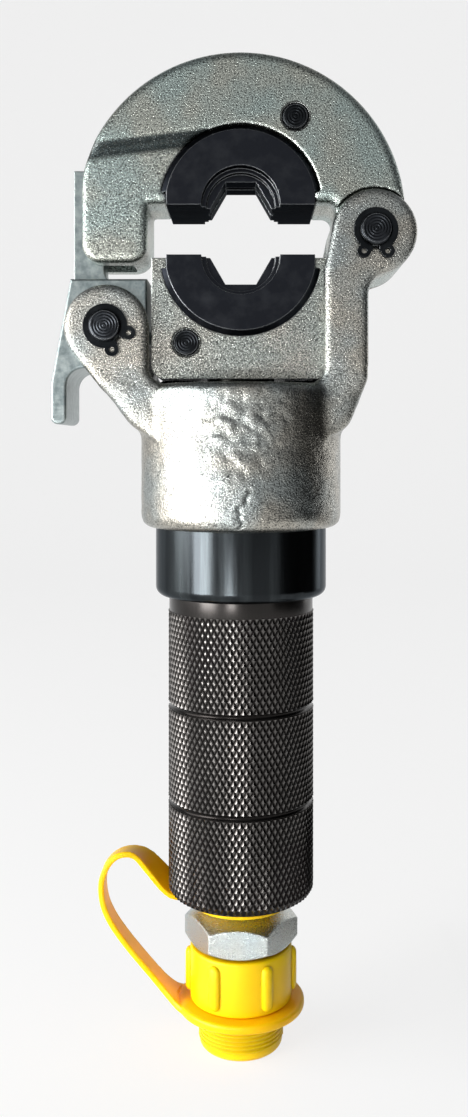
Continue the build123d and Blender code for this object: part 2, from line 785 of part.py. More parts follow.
# Handle sleeve: knurled grip with plain grooves between its knurled sections
with BuildPart() as handle_sleeve:
    with BuildSketch(Plane.XY.offset(handle_low)):
        Circle(handle_radius)
    extrude(amount=handle_length)
    fillet(handle_sleeve.edges().sort_by(Axis.Z)[0], handle_round)
    with BuildSketch(Plane.XY.offset(handle_low)):
        Circle(tube_radius + seat_gap)
    extrude(amount=handle_length, mode=Mode.SUBTRACT)
    for number in range(1, handle_grooves + 1):
        with BuildSketch(Plane.XY.offset(handle_low + number * knurl_section - groove_width / 2)):
            Circle(handle_radius)
            Circle(handle_radius - groove_depth, mode=Mode.SUBTRACT)
        extrude(amount=groove_width, mode=Mode.SUBTRACT)

# Hose coupler: hexagon, neck and port thread above, nose with its check valve below
neck_top = tube_low - seal_thickness
chamber_floor = nose_low + poppet_seat_wall
guide_top = hex_top - poppet_guide_thickness
guide_low_face = guide_top - poppet_guide_thickness
with BuildPart() as coupler_body:
    with BuildSketch(Plane.XY.offset(hex_low)):
        RegularPolygon(hex_across / 2, 6, major_radius=False, rotation=hex_turn)
    extrude(amount=hex_height)
    with BuildSketch(Plane.XZ):
        Polygon(
            (coupler_neck_radius, hex_top), (hex_across, hex_top),
            (hex_across, hex_top - (hex_across - coupler_neck_radius) * hex_slope), align=None,
        )
        Polygon(
            (hex_across / 2 - hex_edge, hex_low), (hex_across, hex_low),
            (hex_across, hex_low + (hex_across / 2 + hex_edge) * hex_slope), align=None,
        )
    revolve(axis=Axis.Z, mode=Mode.SUBTRACT)
    with BuildSketch(Plane.XY.offset(hex_low)):
        Circle(nose_radius)
    extrude(amount=nose_low - hex_low)
    with BuildSketch(Plane.XY.offset(hex_top)):
        Circle(coupler_neck_radius)
    extrude(amount=neck_top - hex_top)
    with BuildSketch(Plane.XY.offset(neck_top)):
        Circle(port_radius)
    extrude(amount=seal_thickness + port_length)
    with BuildSketch(Plane.XY.offset(nose_low)):
        Circle(poppet_mouth_radius)
    extrude(amount=poppet_seat_wall, mode=Mode.SUBTRACT)
    with BuildSketch(Plane.XY.offset(chamber_floor)):
        Circle(poppet_chamber_radius)
    extrude(amount=guide_top - chamber_floor, mode=Mode.SUBTRACT)
    with BuildSketch(Plane.XY.offset(guide_top)):
        Circle(port_bore_radius)
    extrude(amount=tube_low + port_length - guide_top, mode=Mode.SUBTRACT)

with BuildPart() as coupler_seal:
    with BuildSketch(Plane.XY.offset(neck_top)):
        Circle(coupler_neck_radius)
        Circle(port_radius + seat_gap, mode=Mode.SUBTRACT)
    extrude(amount=seal_thickness)

head_top = chamber_floor + poppet_head_length
with BuildPart() as coupler_poppet:
    with BuildSketch(Plane.XY.offset(nose_low)):
        Circle(poppet_mouth_radius - round_gap)
    extrude(amount=poppet_seat_wall)
    with BuildSketch(Plane.XY.offset(chamber_floor)):
        Circle(poppet_chamber_radius - run_gap)
    extrude(amount=poppet_head_length)
    with BuildSketch(Plane.XY.offset(head_top)):
        Circle(poppet_stem_radius)
    extrude(amount=guide_top - run_gap - head_top)

with BuildPart() as poppet_guide:
    with BuildSketch(Plane.XY.offset(guide_low_face)):
        Circle(poppet_chamber_radius - seat_gap)
        Circle(poppet_stem_radius + run_gap, mode=Mode.SUBTRACT)
    extrude(amount=poppet_guide_thickness)

poppet_spring = spring_between(
    Plane.XY.offset(head_top), guide_low_face - head_top,
    (poppet_stem_radius + poppet_chamber_radius) / 2, poppet_wire_radius, poppet_turns,
)

# Dust cap: ribbed screw cap above the neck groove, threaded plug below it
with BuildPart() as dust_cap:
    with BuildSketch(Plane.XY):
        Circle(plug_radius)
    extrude(amount=plug_length)
    chamfer(dust_cap.faces().sort_by(Axis.Z)[0].edges(), plug_chamfer)
    with BuildSketch(Plane.XY.offset(plug_length)):
        Circle(cap_neck_radius)
    extrude(amount=groove_length)
    with BuildSketch(Plane.XY.offset(cap_low)):
        Circle(cap_radius)
    extrude(amount=cap_length)
    fillet(dust_cap.faces().sort_by(Axis.Z)[-1].edges(), cap_edge)
    with BuildSketch(Plane.XY.offset(cap_low + (cap_length - rib_length) / 2)):
        with PolarLocations(cap_radius, rib_count):
            SlotOverall(2 * rib_height + rib_width / 2, rib_width)
    extrude(amount=rib_length)
    with BuildSketch(Plane.XY.offset(cap_low + cap_floor)):
        Circle(nose_radius + round_gap)
    extrude(amount=cap_length, mode=Mode.SUBTRACT)

eye_low = plug_length + side_gap / 2
with BuildPart() as strap_eye:
    with BuildSketch(Plane.XY.offset(eye_low)):
        Circle(eye_radius)
        Circle(cap_neck_radius + round_gap, mode=Mode.SUBTRACT)
    extrude(amount=eye_thickness)
    fillet(strap_eye.edges().filter_by(GeomType.CIRCLE).group_by(SortBy.LENGTH)[-1], eye_thickness / 3)

# Tether: upper eye round the coupler's neck, and a flat band that loops up, out and down to the lower eye
upper_eye_low = hex_top + side_gap
band_low = eye_low + eye_thickness / 2
band_high = upper_eye_low + upper_eye_thickness / 2
# Each upper station: out from the handle's radius, back, up from the upper eye, turn and roll in degrees
upper_stations = [
    (-5.8, 6.6, -0.1, 25, 2), (-1.4, 5.8, 0.5, 20, 12), (1.9, 4.5, 4.2, 13, 28), (5.0, 3.0, 8.4, 8, 26),
    (8.7, 2.0, 12.2, 3, 13), (12.7, 1.2, 14.1, 0, -5), (16.7, 0.6, 13.4, 0, -8), (20.1, 0.2, 9.9, 0, -4),
    (21.5, 0.0, 5.8, 0, 0), (21.5, 0.0, 1.8, 0, 0),
]
# Each lower station: out from the lower eye's radius, up from that eye, and how far the band widens into it
lower_stations = [
    (23.8, 31.5, 1.0), (21.6, 26.6, 1.0), (18.2, 21.5, 1.0), (14.1, 16.3, 1.0), (9.7, 11.1, 1.0),
    (4.9, 5.6, 1.1), (0.8, 1.6, 1.5), (-3.7, 0.0, 2.2),
]
band_route = [(-coupler_neck_radius - strap_thickness / 2, strap_width * 2 / 3, band_high, 25, 0, 1)]
for out, back, up, turn, roll in upper_stations:
    band_route.append((-handle_radius - out, back, band_high + up, turn, roll, 1))
for out, up, widening in lower_stations:
    band_route.append((-eye_radius - out, 0, band_low + up, 0, 0, widening))
with BuildPart() as cap_strap:
    for number, (x, y, z, turn, roll, widening) in enumerate(band_route):
        after, before = band_route[min(number + 1, len(band_route) - 1)], band_route[max(number - 1, 0)]
        ahead = Vector(after[:3]) - Vector(before[:3])
        across = Vector(0, 1, 0).rotate(Axis.X, roll).rotate(Axis.Z, -turn)
        with BuildSketch(Plane(origin=(x, y, z), x_dir=across, z_dir=ahead)):
            Rectangle(strap_width * widening, strap_thickness)
    loft()
    with BuildSketch(Plane.XY.offset(upper_eye_low)):
        Circle(upper_eye_radius)
    extrude(amount=upper_eye_thickness)
    with BuildSketch(Plane.XY.offset(upper_eye_low)):
        Circle(coupler_neck_radius + round_gap)
    extrude(amount=upper_eye_thickness, mode=Mode.SUBTRACT)
    with BuildSketch(Plane.XY):
        Circle(eye_radius + seat_gap)
    extrude(amount=cap_top, mode=Mode.SUBTRACT)

pieces = {
    "yoke": yoke.part, "hinge_pin": hinge_pin, "hinge_circlips": hinge_circlips, "latch_pin": latch_pin,
    "latch_circlips": latch_circlips, "upper_jaw": upper_jaw.part, "keeper_pin": keeper_pin.part,
    "upper_die": upper_die, "lower_die": lower_die, "upper_lock_pin": upper_lock_pin,
    "lower_lock_pin": lower_lock_pin, "upper_lock_ball": upper_lock_ball, "lower_lock_ball": lower_lock_ball,
    "upper_lock_spring": upper_lock_spring, "lower_lock_spring": lower_lock_spring,
    "latch_lever": latch_lever.part, "latch_spring": latch_spring, "ram_block": ram_block.part,
    "ram_screw": ram_screw.part, "piston_rod": piston_rod.part, "piston": piston.part,
    "piston_seal": piston_seal, "piston_guide_ring": piston_guide_ring, "return_spring": return_spring,
    "rod_gland": rod_gland.part, "rod_wiper": rod_wiper.part, "cylinder": cylinder.part,
    "handle_sleeve": handle_sleeve.part, "coupler_body": coupler_body.part,
    "coupler_seal": coupler_seal.part, "coupler_poppet": coupler_poppet.part,
    "poppet_guide": poppet_guide.part, "poppet_spring": poppet_spring,
    "dust_cap": dust_cap.part, "strap_eye": strap_eye.part, "cap_strap": cap_strap.part,
}
os.makedirs("parts", exist_ok=True)
for name, piece in pieces.items():
    piece.label = name
    export_step(piece, f"parts/{name}.step")
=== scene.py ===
import json
import math

import bmesh
import bpy
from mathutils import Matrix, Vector

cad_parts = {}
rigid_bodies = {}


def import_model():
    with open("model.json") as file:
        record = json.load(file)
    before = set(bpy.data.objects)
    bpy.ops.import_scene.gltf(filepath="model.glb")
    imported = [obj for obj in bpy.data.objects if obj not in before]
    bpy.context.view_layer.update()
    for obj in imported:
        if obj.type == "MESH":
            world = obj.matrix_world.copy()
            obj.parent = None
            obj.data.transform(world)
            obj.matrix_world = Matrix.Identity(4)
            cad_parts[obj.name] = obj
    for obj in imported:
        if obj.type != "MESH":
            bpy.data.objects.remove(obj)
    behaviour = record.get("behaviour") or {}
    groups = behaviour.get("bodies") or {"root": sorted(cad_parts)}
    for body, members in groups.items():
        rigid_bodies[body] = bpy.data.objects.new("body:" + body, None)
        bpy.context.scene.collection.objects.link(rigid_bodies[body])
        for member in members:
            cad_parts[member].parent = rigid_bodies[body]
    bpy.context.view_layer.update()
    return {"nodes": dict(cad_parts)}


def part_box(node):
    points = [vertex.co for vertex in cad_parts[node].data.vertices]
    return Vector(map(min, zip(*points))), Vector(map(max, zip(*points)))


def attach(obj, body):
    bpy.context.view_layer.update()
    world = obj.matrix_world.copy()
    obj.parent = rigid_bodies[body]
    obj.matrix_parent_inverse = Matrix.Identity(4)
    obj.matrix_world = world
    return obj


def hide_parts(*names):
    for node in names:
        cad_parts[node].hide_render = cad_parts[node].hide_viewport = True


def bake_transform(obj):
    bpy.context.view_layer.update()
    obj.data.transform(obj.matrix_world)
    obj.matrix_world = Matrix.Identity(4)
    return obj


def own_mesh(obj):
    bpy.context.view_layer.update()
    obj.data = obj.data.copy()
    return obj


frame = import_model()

# Pipe press head: its finishes, and the pieces whose form is finer than the solids hold.
# The frame is in metres. Sizes here are written in millimetres and turned to metres by MM.
MM = 0.001

# Distance within which points count as one: on turned pieces, and along the seams of a copied solid
WELD = 0.01
SEAM_WELD = 0.002

# View of the photograph: its size and the pixel its optical axis goes through, and the camera's place
PHOTO_WIDTH = 468
PHOTO_HEIGHT = 1117
FOCAL_LENGTH_PX = 1100
AXIS_PX = (250, 447)
CAMERA_PLACE = (2.95, -361, 195)
CAMERA_CLIP = 10
SENSOR_WIDTH = 36

# Angle in degrees over which faces meet in a sharp edge: on skins and wires, on the grip and on the cap
SKIN_ANGLE = 60
GRIP_ANGLE = 25
CAP_ANGLE = 35

# Knurled grip: two crossed sets of grooves at about 30 degrees to the axis. The tops between them are cut
# flat, in percent of an edge.
KNURL_COUNT = 72
KNURL_HEIGHT = 3.45
KNURL_DEPTH = 0.5
KNURL_FLAT = 26
KNURL_SECTION = 31.0
KNURL_CORE_DEPTH = 0.75
GROOVE_WIDTH = 2.1
GROOVE_DEPTH = 0.85
GROOVE_ARC = (228, 132)
GROOVE_STEPS = 8
PLAIN_STRIP = 5.0
STRIP_BELOW_KNURL = 0.35
GRIP_ROUND = 3.5
GRIP_PLAIN_END = 1.0
GRIP_CHAMFER = 0.3
GRIP_BORE = 21.02
GRIP_RUB_DEPTH = 0.4

# Dust cap: plug, skirt and ribs
PLUG_RADIUS = 13.9
PLUG_LENGTH = 12.3
PLUG_ROUND = 2.2
PLUG_BAND_INSET = 0.1
PLUG_CHAMFER = 0.3
CAP_NECK_RADIUS = 12.4
CAP_RADIUS = 16.6
CAP_LOW = 15.7
CAP_TOP = 32.9
CAP_BORE = 12.3
CAP_FLOOR = 18.7
CAP_ROUND = 0.8
CAP_LIP_ROUND = 0.5
CAP_LIP_STEPS = 3
CAP_STEPS = 96
RIB_COUNT = 6
RIB_WIDTH = 4.2
RIB_HEIGHT = 1.6
RIB_LENGTH = 14.2
RIB_SEGMENTS = 24
RIB_RINGS = 12

# Thread of the plug: its run-out is in turns. A tooth has half widths at its tip, its foot and its sunk base.
THREAD_PITCH = 1.25
THREAD_DEPTH = 0.4
THREAD_LOW = 2.6
THREAD_TURNS = 5
THREAD_RUN_OUT = 0.6
THREAD_STEPS = 96
TOOTH_TIP_INSET = 0.08
TOOTH_TIP_HALF = 0.12
TOOTH_FOOT_HALF = 0.42
TOOTH_BASE_HALF = 0.4
TOOTH_BASE_SUNK = 0.5

# Tether: its moulded rounding
BAND_VOXEL = 0.3
BAND_SMOOTHING = 8

# Forgings: fineness of their skins, how often these are smoothed, and the least weight that a mark on them
# keeps
JAW_VOXEL = 0.5
JAW_SMOOTHING = 4
YOKE_VOXEL = 0.68
YOKE_SMOOTHING = 5
LEAST_WEIGHT = 0.01

# Soft step across both faces of the jaw's leg, painted dark as shade: its ends as X and Z, how far it runs on
# past the right one, its half height, the distance from the middle at which the faces start, and how often it
# is smoothed
STEP_ENDS = ((-46.0, 288.5), (-16.0, 292.0))
STEP_BEYOND = 6.0
STEP_REACH = 3.6
STEP_FACE = 12.5
STEP_SOFTENING = 55

# Roots of the yoke's arms: their X on either side and Z, how far around them and how far in front of and
# behind the middle they are smoothed, and how often
ROOT_PLACE = (36.0, 206.0)
ROOT_REACH = 11.0
ROOT_FRONT = 21.0
ROOT_SOFTENING = 110

# Scale marks that the hammer left on the front of the barrel. Their middle level turns nearly all of them
# inwards. From a centre, as X and Z, they fade over a reach to a least share, between two heights and on
# the skin outside a radius.
SCALE_SIZE = 5.5
SCALE_DEPTH = 1.5
SCALE_MID_LEVEL = 0.9
SCALE_OCTAVES = 2
SCALE_CENTRE = (-1.0, 201.0)
SCALE_REACH = 19.0
SCALE_LEAST = 0.15
SCALE_HEIGHTS = (171, 220)
BARREL_SKIN = 26

# Crack at the foot of the barrel: its ends as X and Z, and the waves it wanders in, as size and rate
CRACK_ENDS = ((2.0, 182.5), (-1.2, 170.2))
CRACK_HALF_WIDTH = 0.8
CRACK_DEPTH = 0.7
CRACK_WAVES = ((0.9, 9), (0.5, 23))

# Raised seat on the yoke's floor in the gap under the ram, and the oil with painted shade round the ram's
# foot
RAM_REST_GAP = 1.5
SEAT_RISE = 1.1
SEAT_SETBACK = 2.0
SEAT_BORE = 15.0
SEAT_TOLERANCE = 0.6
OIL_AND_SHADE_BESIDE = 2.0
OIL_AND_SHADE_HALF_HEIGHT = 4.0

# Places of the release buttons and of the two cross pins, as X and Z
UPPER_LOCK = (17.22, 298.76)
LOWER_LOCK = (-17.22, 227.94)
HINGE = (42.0, 262.4)
LATCH = (-42.0, 232.5)

# Grime round a release button: the radius that is dark all over, and the one that its specks reach
STAIN_CORE = 4.6
STAIN_REACH = 5.4

# Turned barrel: its top, the height over which the grain fades there, the share of the grain that is left,
# and the level that it fades to
BARREL_TOP = 212
BARREL_FADE = 12
BARREL_GRAIN = 0.85
GRAIN_LEVEL = 0.54

# Grease and painted shade on the rod in the gap under the ram: how far below the ram it starts, and the
# height over which it fades
GREASE_AND_SHADE_BELOW_RAM = 3.0
GREASE_AND_SHADE_FADE = 0.5

# Stretch of the streaks' pattern along X, Y and Z: level lines on turned and milled pieces, none on drawn
# wire
TURNED = (0.1, 0.1, 1)
MILLED = (0.08, 0.08, 1)
DRAWN = (1, 1, 1)

# Colour of metal that is wet with old oil; it also paints shade on faces that look down and round the ram's
# foot
OILED_AND_SHADED = "#262827"

# Springs: the body that holds each, the joint that presses it and the way it is pressed
COMPRESSION_SPRINGS = (
    ("return_spring", "frame", "ram_slide", (0, 0, 1)),
    ("poppet_spring", "frame", "poppet_lift", (0, 0, 1)),
    ("upper_lock_spring", "jaw", "upper_lock_press", (0, 1, 0)),
    ("lower_lock_spring", "ram", "lower_lock_press", (0, 1, 0)),
)

# Stage, in metres: a floor with a wall at its back and a cove between them. Part of its white is a glow.
FLOOR_SIZE = (9, 4)
WALL_HEIGHT = 3
COVE_SIZE = 0.7
COVE_SEGMENTS = 12
GLOW_SHARE = 0.8
ROOM_LIGHT = 0.42

# Dark cards beside the object: the middle of each, its depth and its height
DARK_CARDS = (
    ((480, -60, 220), 640, 440),
    ((80, 35, 22), 110, 44),
)

# Lamps: name, place, the point it is aimed at, width, height and watts
LAMPS = (
    ("window_left", (-985, -220, 400), (0, 0, 190), 700, 680, 9.2),
    ("front_panel", (-200, -1400, 660), (0, 0, 200), 1500, 800, 2.8),
    ("low_left", (-420, -330, 125), (0, 0, 80), 220, 230, 2.9),
    ("low_front", (-140, -540, 45), (0, 0, 30), 100, 50, 0.65),
    ("rim_right", (850, 650, 300), (0, 0, 180), 160, 900, 1.0),
)


def srgb(code):
    """Linear colour of an sRGB hex value."""
    channels = [int(code[i:i + 2], 16) / 255 for i in (1, 3, 5)]
    return [c / 12.92 if c <= 0.04045 else ((c + 0.055) / 1.055) ** 2.4 for c in channels] + [1.0]


def per_size(size):
    """Scale at which a pattern's cell is a size in millimetres across."""
    return 1 / (size * MM)


def button_place(place, holder):
    """Middle of a release button on the front face of the piece that holds it, in millimetres."""
    return place[0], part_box(holder)[0].y / MM, place[1]


# Modelling


def start_piece(name):
    """An empty mesh object at the origin, in edit mode, with nothing else selected."""
    bpy.ops.object.select_all(action="DESELECT")
    bpy.ops.mesh.primitive_plane_add()
    piece = bpy.context.object
    piece.name = name
    piece.data.name = name
    bpy.ops.object.mode_set(mode="EDIT")
    bpy.ops.mesh.delete(type="VERT")
    return piece


def pick(kind, keep):
    """In edit mode, selects only the verts, edges or faces for which keep is true."""
    bpy.ops.mesh.select_mode(type={"verts": "VERT", "edges": "EDGE", "faces": "FACE"}[kind])
    bpy.ops.mesh.select_all(action="DESELECT")
    mesh = bmesh.from_edit_mesh(bpy.context.edit_object.data)
    for part in getattr(mesh, kind):
        if keep(part):
            part.select_set(True)
    mesh.select_flush_mode()
    bmesh.update_edit_mesh(bpy.context.edit_object.data)


def draw_line(points):
    """In edit mode, draws a line through radius and height points, in millimetres, and selects it."""
    bpy.ops.mesh.select_mode(type="VERT")
    bpy.ops.mesh.primitive_plane_add(location=(points[0][0] * MM, 0, points[0][1] * MM))
    bpy.ops.mesh.merge(type="CENTER")
    for near, far in zip(points, points[1:]):
        step = ((far[0] - near[0]) * MM, 0, (far[1] - near[1]) * MM)
        bpy.ops.mesh.extrude_vertices_move(TRANSFORM_OT_translate={"value": step})
    bpy.ops.mesh.select_linked()


def lathe(profile, steps):
    """In edit mode, spins a line of radius and height points about Z."""
    draw_line(profile)
    bpy.ops.mesh.spin(steps=steps, angle=2 * math.pi, center=(0, 0, 0), axis=(0, 0, 1))
    bpy.ops.mesh.select_linked()
    bpy.ops.mesh.remove_doubles(threshold=WELD * MM)
    bpy.ops.mesh.normals_make_consistent(inside=False)


def arc(centre, radius, start, end, steps=6):
    """Points of a profile along an arc, from one angle in degrees to another."""
    angles = [math.radians(start + (end - start) * i / steps) for i in range(steps + 1)]
    return [(centre[0] + radius * math.cos(a), centre[1] + radius * math.sin(a)) for a in angles]


def finish_piece(piece, body, material, smooth_angle):
    """Leaves edit mode, shades the piece and ties it to its body, slot and finish."""
    bpy.ops.object.mode_set(mode="OBJECT")
    bpy.ops.object.shade_smooth_by_angle(angle=math.radians(smooth_angle))
    piece.data.materials.append(material)
    if body:
        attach(piece, body)


def merged_copy(name, *nodes):
    """One object made of copies of solids of the frame, with their seams merged. It stands for them."""
    bpy.ops.object.select_all(action="DESELECT")
    for node_name in nodes:
        copy = bpy.data.objects.new(name, frame["nodes"][node_name].data.copy())
        bpy.context.scene.collection.objects.link(copy)
        copy.select_set(True)
        bpy.context.view_layer.objects.active = copy
        bpy.ops.mesh.customdata_custom_splitnormals_clear()
        copy.data.materials.clear()
    bpy.ops.object.join()
    piece = bpy.context.object
    piece.name = name
    bpy.ops.object.mode_set(mode="EDIT")
    bpy.ops.mesh.select_all(action="SELECT")
    bpy.ops.mesh.remove_doubles(threshold=SEAM_WELD * MM)
    bpy.ops.object.mode_set(mode="OBJECT")
    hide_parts(*nodes)
    return piece


def soften(piece, iterations, group=""):
    """Smooths a piece, all over or where one of its vertex groups has weight."""
    smoothing = piece.modifiers.new("soften", "SMOOTH")
    smoothing.iterations = iterations
    smoothing.vertex_group = group
    bpy.ops.object.modifier_apply(modifier="soften")


def reskin(piece, voxel, smoothing):
    """Gives a piece an even skin with softened edges."""
    skin = piece.modifiers.new("skin", "REMESH")
    skin.mode = "VOXEL"
    skin.voxel_size = voxel * MM
    bpy.ops.object.modifier_apply(modifier="skin")
    soften(piece, smoothing)


def push(piece, group, distance, **settings):
    """Moves the skin of a piece by a distance in millimetres, where one of its vertex groups has weight."""
    shift = piece.modifiers.new("push", "DISPLACE")
    shift.strength = distance * MM
    shift.vertex_group = group
    for name, value in settings.items():
        setattr(shift, name, value)
    bpy.ops.object.modifier_apply(modifier="push")


def mark(piece, name, weight):
    """A vertex group in which each vertex has the weight given for its place, with an attribute of the same
    weights for the finish to read."""
    group = piece.vertex_groups.new(name=name)
    amounts = [weight(vert.co / MM) for vert in piece.data.vertices]
    for index, amount in enumerate(amounts):
        if amount > LEAST_WEIGHT:
            group.add([index], amount, "REPLACE")
    piece.data.attributes.new(name + "_weight", "FLOAT", "POINT").data.foreach_set("value", amounts)
    return group.name


def nearness(away, reach):
    """Weight that is full over the inner half of a reach and falls to nothing at its end."""
    return min(1, 2 * max(0, 1 - away / reach))


def forged_jaw(material):
    """The upper jaw with the soft edges of a forging: its crown runs down to the leg over a rounded step."""
    jaw = merged_copy("forged_jaw", "upper_jaw")
    reskin(jaw, JAW_VOXEL, JAW_SMOOTHING)
    (left, left_height), (right, right_height) = STEP_ENDS

    def near_shaded_step(place):
        level = left_height + (right_height - left_height) * (place.x - left) / (right - left)
        if place.x > right + STEP_BEYOND or abs(place.y) < STEP_FACE:
            return 0
        return nearness(abs(place.z - level), STEP_REACH)

    # The step's weights, kept as an attribute, also paint the step dark as shade in the finish.
    soften(jaw, STEP_SOFTENING, mark(jaw, "step", near_shaded_step))
    finish_piece(jaw, "jaw", material, SKIN_ANGLE)


def forged_yoke(material):
    """The yoke with the soft edges of a forging: arms that run softly into the barrel, hammer scale marks and
    a crack on the front of the barrel, and a raised seat under the ram."""
    yoke = merged_copy("forged_yoke", "yoke")
    reskin(yoke, YOKE_VOXEL, YOKE_SMOOTHING)
    ram_low, ram_high = (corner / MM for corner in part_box("ram_block"))

    def near_root(place):
        away = math.hypot(abs(place.x) - ROOT_PLACE[0], place.z - ROOT_PLACE[1])
        return 0 if abs(place.y) > ROOT_FRONT else nearness(away, ROOT_REACH)

    def scaled(place):
        outside = place.y <= 0 and math.hypot(place.x, place.y) >= BARREL_SKIN
        if not outside or not SCALE_HEIGHTS[0] < place.z < SCALE_HEIGHTS[1]:
            return 0
        away = math.hypot(place.x - SCALE_CENTRE[0], place.z - SCALE_CENTRE[1]) / SCALE_REACH
        return max(SCALE_LEAST, 1 - away**2)

    def cracked(place):
        (high_x, high_z), (low_x, low_z) = CRACK_ENDS
        along = (high_z - place.z) / (high_z - low_z)
        if place.y > 0 or not 0 < along < 1:
            return 0
        wander = sum(size * math.sin(rate * along) for size, rate in CRACK_WAVES)
        away = abs(place.x - high_x - along * (low_x - high_x) - wander)
        return max(0, 1 - away / CRACK_HALF_WIDTH)

    def seated(place):
        to_bore = math.hypot(place.x, place.y) - SEAT_BORE
        rim = min(ram_high.x - abs(place.x), ram_high.y - abs(place.y), to_bore)
        on_floor = abs(place.z - ram_low.z + RAM_REST_GAP) < SEAT_TOLERANCE
        return min(1, max(0, rim - SEAT_SETBACK)) if on_floor else 0

    def oil_and_shade_zone(place):
        # oil, and painted shade in the gap under the ram
        beside = abs(place.x) < ram_high.x + OIL_AND_SHADE_BESIDE and abs(place.y) < ram_high.y + OIL_AND_SHADE_BESIDE
        return 1.0 if beside and abs(place.z - ram_low.z) < OIL_AND_SHADE_HALF_HEIGHT else 0.0

    soften(yoke, ROOT_SOFTENING, mark(yoke, "root", near_root))
    marks = bpy.data.textures.new("hammer_scale", "CLOUDS")
    marks.noise_type = "HARD_NOISE"
    marks.noise_scale = SCALE_SIZE * MM
    marks.noise_depth = SCALE_OCTAVES
    push(yoke, mark(yoke, "scale", scaled), SCALE_DEPTH, mid_level=SCALE_MID_LEVEL, texture=marks,
         texture_coords="LOCAL")
    push(yoke, mark(yoke, "crack", cracked), -CRACK_DEPTH, mid_level=0)
    push(yoke, mark(yoke, "seat", seated), SEAT_RISE, mid_level=0, direction="Z")
    # Weights that the finish reads to paint the skin round the ram's foot dark: oil, and painted shade in the
    # gap.
    mark(yoke, "oil_and_shade", oil_and_shade_zone)
    finish_piece(yoke, "frame", material, SKIN_ANGLE)


def knurled_band(low, high, radius, start_round):
    """In edit mode, one knurled section: crossed grooves leave diamonds with small flat tops. It is closed
    down to the core, and below a height it follows the rounded end of the grip."""
    rows = 2 * round((high - low) / KNURL_HEIGHT)
    row_height = (high - low) / rows
    turn = math.pi / KNURL_COUNT
    core = radius - KNURL_CORE_DEPTH

    def inside(vert):
        return low - WELD < vert.co.z / MM < high + WELD

    def row_of(vert):
        return round((vert.co.z / MM - low) / row_height)

    def crossing(vert):
        column = round(math.atan2(vert.co.y, vert.co.x) / turn)
        return (column + row_of(vert)) % 2 == 0

    def upright(edge):
        return all(inside(v) for v in edge.verts) and abs(edge.verts[0].co.z - edge.verts[1].co.z) > MM

    def open_edge(edge):
        return edge.is_boundary and all(inside(v) for v in edge.verts)

    bpy.ops.mesh.primitive_cylinder_add(
        vertices=2 * KNURL_COUNT, radius=radius * MM, depth=(high - low) * MM,
        end_fill_type="NOTHING", location=(0, 0, (low + high) / 2 * MM),
    )
    pick("edges", upright)
    bpy.ops.mesh.subdivide(number_cuts=rows - 1)
    pick("verts", lambda v: inside(v) and crossing(v))
    sunk = (radius - KNURL_DEPTH) / radius
    bpy.ops.transform.resize(value=(sunk, sunk, 1), center_override=(0, 0, 0))
    pick("faces", lambda f: all(inside(v) for v in f.verts))
    bpy.ops.mesh.quads_convert_to_tris(quad_method="SHORTEST_DIAGONAL")
    pick("verts", lambda v: inside(v) and not crossing(v) and 0 < row_of(v) < rows)
    bpy.ops.mesh.bevel(offset_type="PERCENT", offset_pct=KNURL_FLAT, affect="VERTICES")
    pick("edges", open_edge)
    bpy.ops.mesh.extrude_edges_move()
    inward = core / radius
    bpy.ops.transform.resize(value=(inward, inward, 1), center_override=(0, 0, 0))
    pick("edges", open_edge)
    bpy.ops.mesh.bridge_edge_loops()
    for row in range(rows):
        left = start_round - low - row * row_height
        if left > 0:
            narrow = (radius - GRIP_ROUND + math.sqrt(GRIP_ROUND**2 - left**2)) / radius
            pick("verts", lambda v: inside(v) and row_of(v) == row)
            bpy.ops.transform.resize(value=(narrow, narrow, 1), center_override=(0, 0, 0))


def knurled_grip(material):
    """The handle sleeve: three knurled sections on a turned core with two grooves and a plain strip."""
    low, high = (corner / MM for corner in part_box("handle_sleeve"))
    radius, bottom, top = high.x, low.z, high.z
    grip = start_piece("knurled_grip")
    core = radius - KNURL_DEPTH
    half = GROOVE_WIDTH / 2
    grooves = [bottom + KNURL_SECTION, bottom + 2 * KNURL_SECTION]
    sections = [(bottom + GRIP_PLAIN_END, grooves[0] - half), (grooves[0] + half, grooves[1] - half)]
    sections.append((grooves[1] + half, top - PLAIN_STRIP))
    for section_low, section_high in sections:
        knurled_band(section_low, section_high, radius, bottom + GRIP_ROUND)
    profile = [(GRIP_BORE, top), (GRIP_BORE, bottom), (core - GRIP_ROUND, bottom)]
    profile += arc((core - GRIP_ROUND, bottom + GRIP_ROUND), GRIP_ROUND, -90, 0)
    for groove in grooves:
        profile += [(core, groove - half)]
        profile += arc((radius - GROOVE_DEPTH + half, groove), half, *GROOVE_ARC, GROOVE_STEPS)
        profile += [(core, groove + half)]
    strip = radius - STRIP_BELOW_KNURL
    profile += [(core, top - PLAIN_STRIP - KNURL_DEPTH), (strip, top - PLAIN_STRIP)]
    profile += [(strip, top - GRIP_CHAMFER), (strip - GRIP_CHAMFER, top), (GRIP_BORE, top)]
    lathe(profile, 2 * KNURL_COUNT)
    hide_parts("handle_sleeve")
    finish_piece(grip, "frame", material, GRIP_ANGLE)


